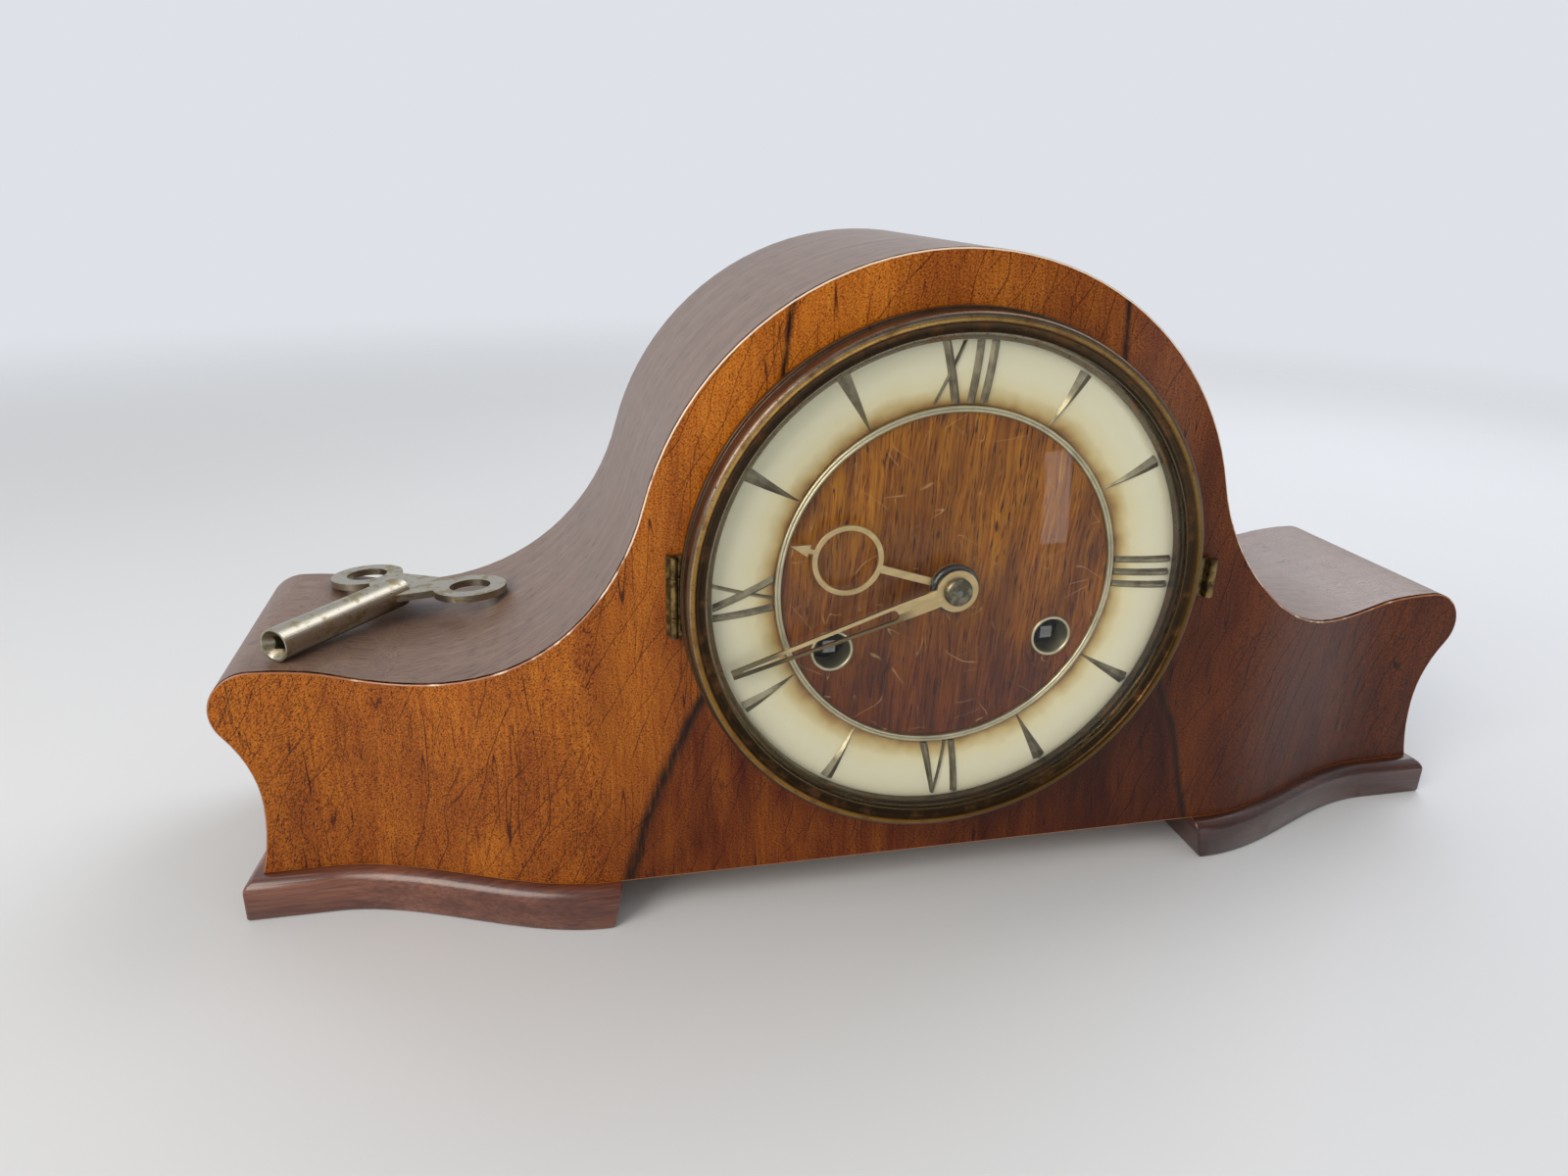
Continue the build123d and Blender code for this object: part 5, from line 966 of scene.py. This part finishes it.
class CLOCK_OT_hands(bpy.types.Operator):
    """Finishes the hands, the black boss and the nut"""

    bl_idname = "clock.hands"
    bl_label = "Hands"

    def execute(self, context):
        metal = context.scene.clock_metal
        brass = hand_brass(metal)
        copy_of("hour_hand", "hour_hand_stamping", brass, edge=0.12 * MM)
        hand = copy_of("minute_hand", "minute_hand_stamping", brass)
        # The long hand is folded to a ridge along its middle line, from the hub to the tip
        way = math.radians(HAND_WAY)
        line, side = Vector((math.sin(way), 0, math.cos(way))), Vector((math.cos(way), 0, -math.sin(way)))
        work = bmesh.new()
        work.from_mesh(hand.data)
        bmesh.ops.bisect_plane(work, geom=work.verts[:] + work.edges[:] + work.faces[:], plane_co=DIAL,
                               plane_no=side)
        for vertex in work.verts:
            out, aside = (vertex.co - DIAL).dot(line), abs((vertex.co - DIAL).dot(side))
            if out > HUB_END * MM:
                half = (2.6 - 1.3 * (out / MM - HUB_END) / 50) * MM
                vertex.co.y -= metal.ridge * max(0, 1 - aside / half)
        bmesh.ops.recalc_face_normals(work, faces=work.faces)
        work.to_mesh(hand.data)
        work.free()
        smooth(hand.data, 12)
        tree = turning_tree()
        section = [(2.4, 6.0), (7.0, 6.0), (7.0, 7.1)] + arc((7.0, 7.1), (6.77, 7.67), (6.2, 7.9)) + [(2.4, 7.9)]
        turned("lacquered_boss", tree, black_gloss(), section, "hour_hand_boss")
        section = [(0.85, 9.2), (4.0, 9.2), (4.0, 10.1)] + arc((4.0, 10.1), (3.74, 10.74), (3.1, 11.0), 6)
        turned("domed_hand_nut", tree, aged_brass("dark_bronze_nut", "#857c68", "#4d4738"),
               section + [(0.85, 11.0)], "hand_nut")
        return {"FINISHED"}


class CLOCK_OT_key(bpy.types.Operator):
    """Rounds and plates the winding key"""

    bl_idname = "clock.key"
    bl_label = "Winding Key"

    def execute(self, context):
        copy_of("key", "plated_key", worn_nickel(context.scene.clock_metal), edge=0.4 * MM)
        return {"FINISHED"}


class CLOCK_OT_movement(bpy.types.Operator):
    """Finishes the movement, the pendulum and the gong inside the case"""

    bl_idname = "clock.movement"
    bl_label = "Movement"

    def execute(self, context):
        metal = context.scene.clock_metal
        paint(movement_brass(), "front_plate", "back_plate", "pillars", "minute_wheel", "hour_wheel",
              "centre_wheel", "second_wheel", "third_wheel", "escape_wheel", "going_barrel", "strike_barrel",
              "pin_wheel", "gathering_wheel", "fly", "suspension_cock", "pendulum")
        paint(steel(metal), "standoffs", "movement_nuts", "centre_arbor", "cannon_pinion", "going_winding_arbor",
              "going_click", "strike_winding_arbor", "strike_click", "anchor", "hammers")
        paint(blued_spring(), "going_mainspring", "strike_mainspring")
        paint(cast_iron(), "gong_block")
        paint(gong_bronze(), "gong_rods")
        return {"FINISHED"}


class CLOCK_OT_stage(bpy.types.Operator):
    """Lays the floor and sets the lights and the camera"""

    bl_idname = "clock.stage"
    bl_label = "Stage"

    def execute(self, context):
        scene, stage = context.scene, context.scene.clock_stage
        mesh = bpy.data.meshes.new("floor")
        mesh.from_pydata([(-4, -4, 0), (4, -4, 0), (4, 4, 0), (-4, 4, 0)], [], [(0, 1, 2, 3)])
        floor = new_piece("floor", mesh)
        material, tree = new_material("matt_floor")
        place = add(tree, "TexCoord").node.outputs["Object"]
        patch = add(tree, "TexNoise", Vector=place, Scale=3, Detail=2)
        colour = add(tree, "Mix", COLOUR, Factor=patch, A=stage.floor[:], B="#dadcdf")
        paper = add(tree, "BsdfPrincipled", Base_Color=colour, Roughness=0.85, Specular_IOR_Level=0.2)
        # The floor fades into the backdrop with distance, so no horizon shows
        far = add(tree, "MapRange", SMOOTH, From_Min=0.55, From_Max=1.5,
                  Value=add(tree, "VectorMath", {"operation": "LENGTH"}, n0=place))
        mixed = add(tree, "MixShader", n0=far, n1=paper, n2=add(tree, "BsdfTransparent"))
        add(tree, "OutputMaterial", Surface=mixed)
        mesh.materials.append(material)
        world = bpy.data.worlds.new("room")
        world.use_nodes = True
        tree = world.node_tree
        tree.nodes.clear()
        paths = add(tree, "LightPath").node.outputs
        seen = add(tree, "Math", LARGER, n0=paths["Is Camera Ray"],
                   n1=paths["Is Transmission Ray"])
        # Metal and gloss see the pale backdrop behind the clock and a dimmer room in front of it
        way = add(tree, "SeparateXYZ",
                  Vector=add(tree, "TexCoord").node.outputs["Generated"]).node.outputs
        depth = add(tree, "MapRange", SMOOTH, Value=way["Y"], From_Min=-0.7, From_Max=0.4,
                    To_Min=0.22)
        back = add(tree, "Background", Color=stage.wall[:], Strength=depth)
        lit = add(tree, "MixShader", n0=paths["Is Glossy Ray"], n2=back,
                  n1=add(tree, "Background", Color="#f4f3f1", Strength=0.66))
        mixed = add(tree, "MixShader", n0=seen, n1=lit,
                    n2=add(tree, "Background", Color=stage.wall[:], Strength=1))
        add(tree, "OutputWorld", Surface=mixed)
        scene.world = world
        # A window high at the right behind the clock, a soft lamp at the left before it, and a narrow pane close at
        # the right that shows in the glass
        for name, place, size, power, colour in (
                ("window", (0.6, 0.45, 0.85), (0.7, 0.9), stage.window, "#f2f6ff"),
                ("room", (-0.85, -0.6, 0.65), (0.6, 0.8), stage.fill, "#fff8ee"),
                ("pane", (0.30, -0.42, 0.092), (0.045, 0.14), stage.fill / 140, "#f4f8ff")):
            light = bpy.data.lights.new(name, "AREA")
            light.shape, light.energy = "RECTANGLE", power
            light.size, light.size_y = size
            light.color = linear(colour, alpha=False)
            lamp = new_piece(name, light)
            lamp.location = place
            lamp.rotation_euler = (LAMPS_AIM - Vector(place)).to_track_quat("-Z", "Y").to_euler()
            lamp.visible_camera = False
        camera = bpy.data.cameras.new("camera")
        camera.lens, camera.sensor_width, camera.sensor_fit = stage.lens, 36, "HORIZONTAL"
        camera.clip_start = 0.01
        view = new_piece("camera", camera)
        view.location = CAMERA_PLACE
        view.rotation_euler = [math.radians(angle) for angle in CAMERA_TURN]
        scene.camera = view
        scene.view_settings.view_transform = "Standard"
        return {"FINISHED"}


OPERATORS = (CLOCK_OT_front, CLOCK_OT_hood, CLOCK_OT_feet, CLOCK_OT_back, CLOCK_OT_bezel, CLOCK_OT_dial,
             CLOCK_OT_marks, CLOCK_OT_hands, CLOCK_OT_key, CLOCK_OT_movement, CLOCK_OT_stage)
GROUPS = {"clock_wood": ClockWood, "clock_metal": ClockMetal, "clock_dial": ClockDial, "clock_stage": ClockStage}


class CLOCK_PT_panel(bpy.types.Panel):
    """Lists the settings and the steps in their order"""

    bl_idname = "CLOCK_PT_panel"
    bl_label = "Mantel Clock"
    bl_space_type = "VIEW_3D"
    bl_region_type = "UI"
    bl_category = "Clock"

    def draw(self, context):
        for name, group in GROUPS.items():
            box = self.layout.box()
            box.label(text=group.__doc__)
            for field in group.__annotations__:
                box.prop(getattr(context.scene, name), field)
        for operator in OPERATORS:
            self.layout.operator(operator.bl_idname)


def register():
    for part in (*GROUPS.values(), *OPERATORS, CLOCK_PT_panel):
        bpy.utils.register_class(part)
    for name, group in GROUPS.items():
        setattr(bpy.types.Scene, name, bpy.props.PointerProperty(type=group))


def unregister():
    for name in GROUPS:
        delattr(bpy.types.Scene, name)
    for part in (CLOCK_PT_panel, *reversed(OPERATORS), *reversed(GROUPS.values())):
        bpy.utils.unregister_class(part)


def main():
    register()
    for operator in OPERATORS:
        getattr(bpy.ops.clock, operator.bl_idname.split(".")[1])()


if __name__ == "__main__":
    main()
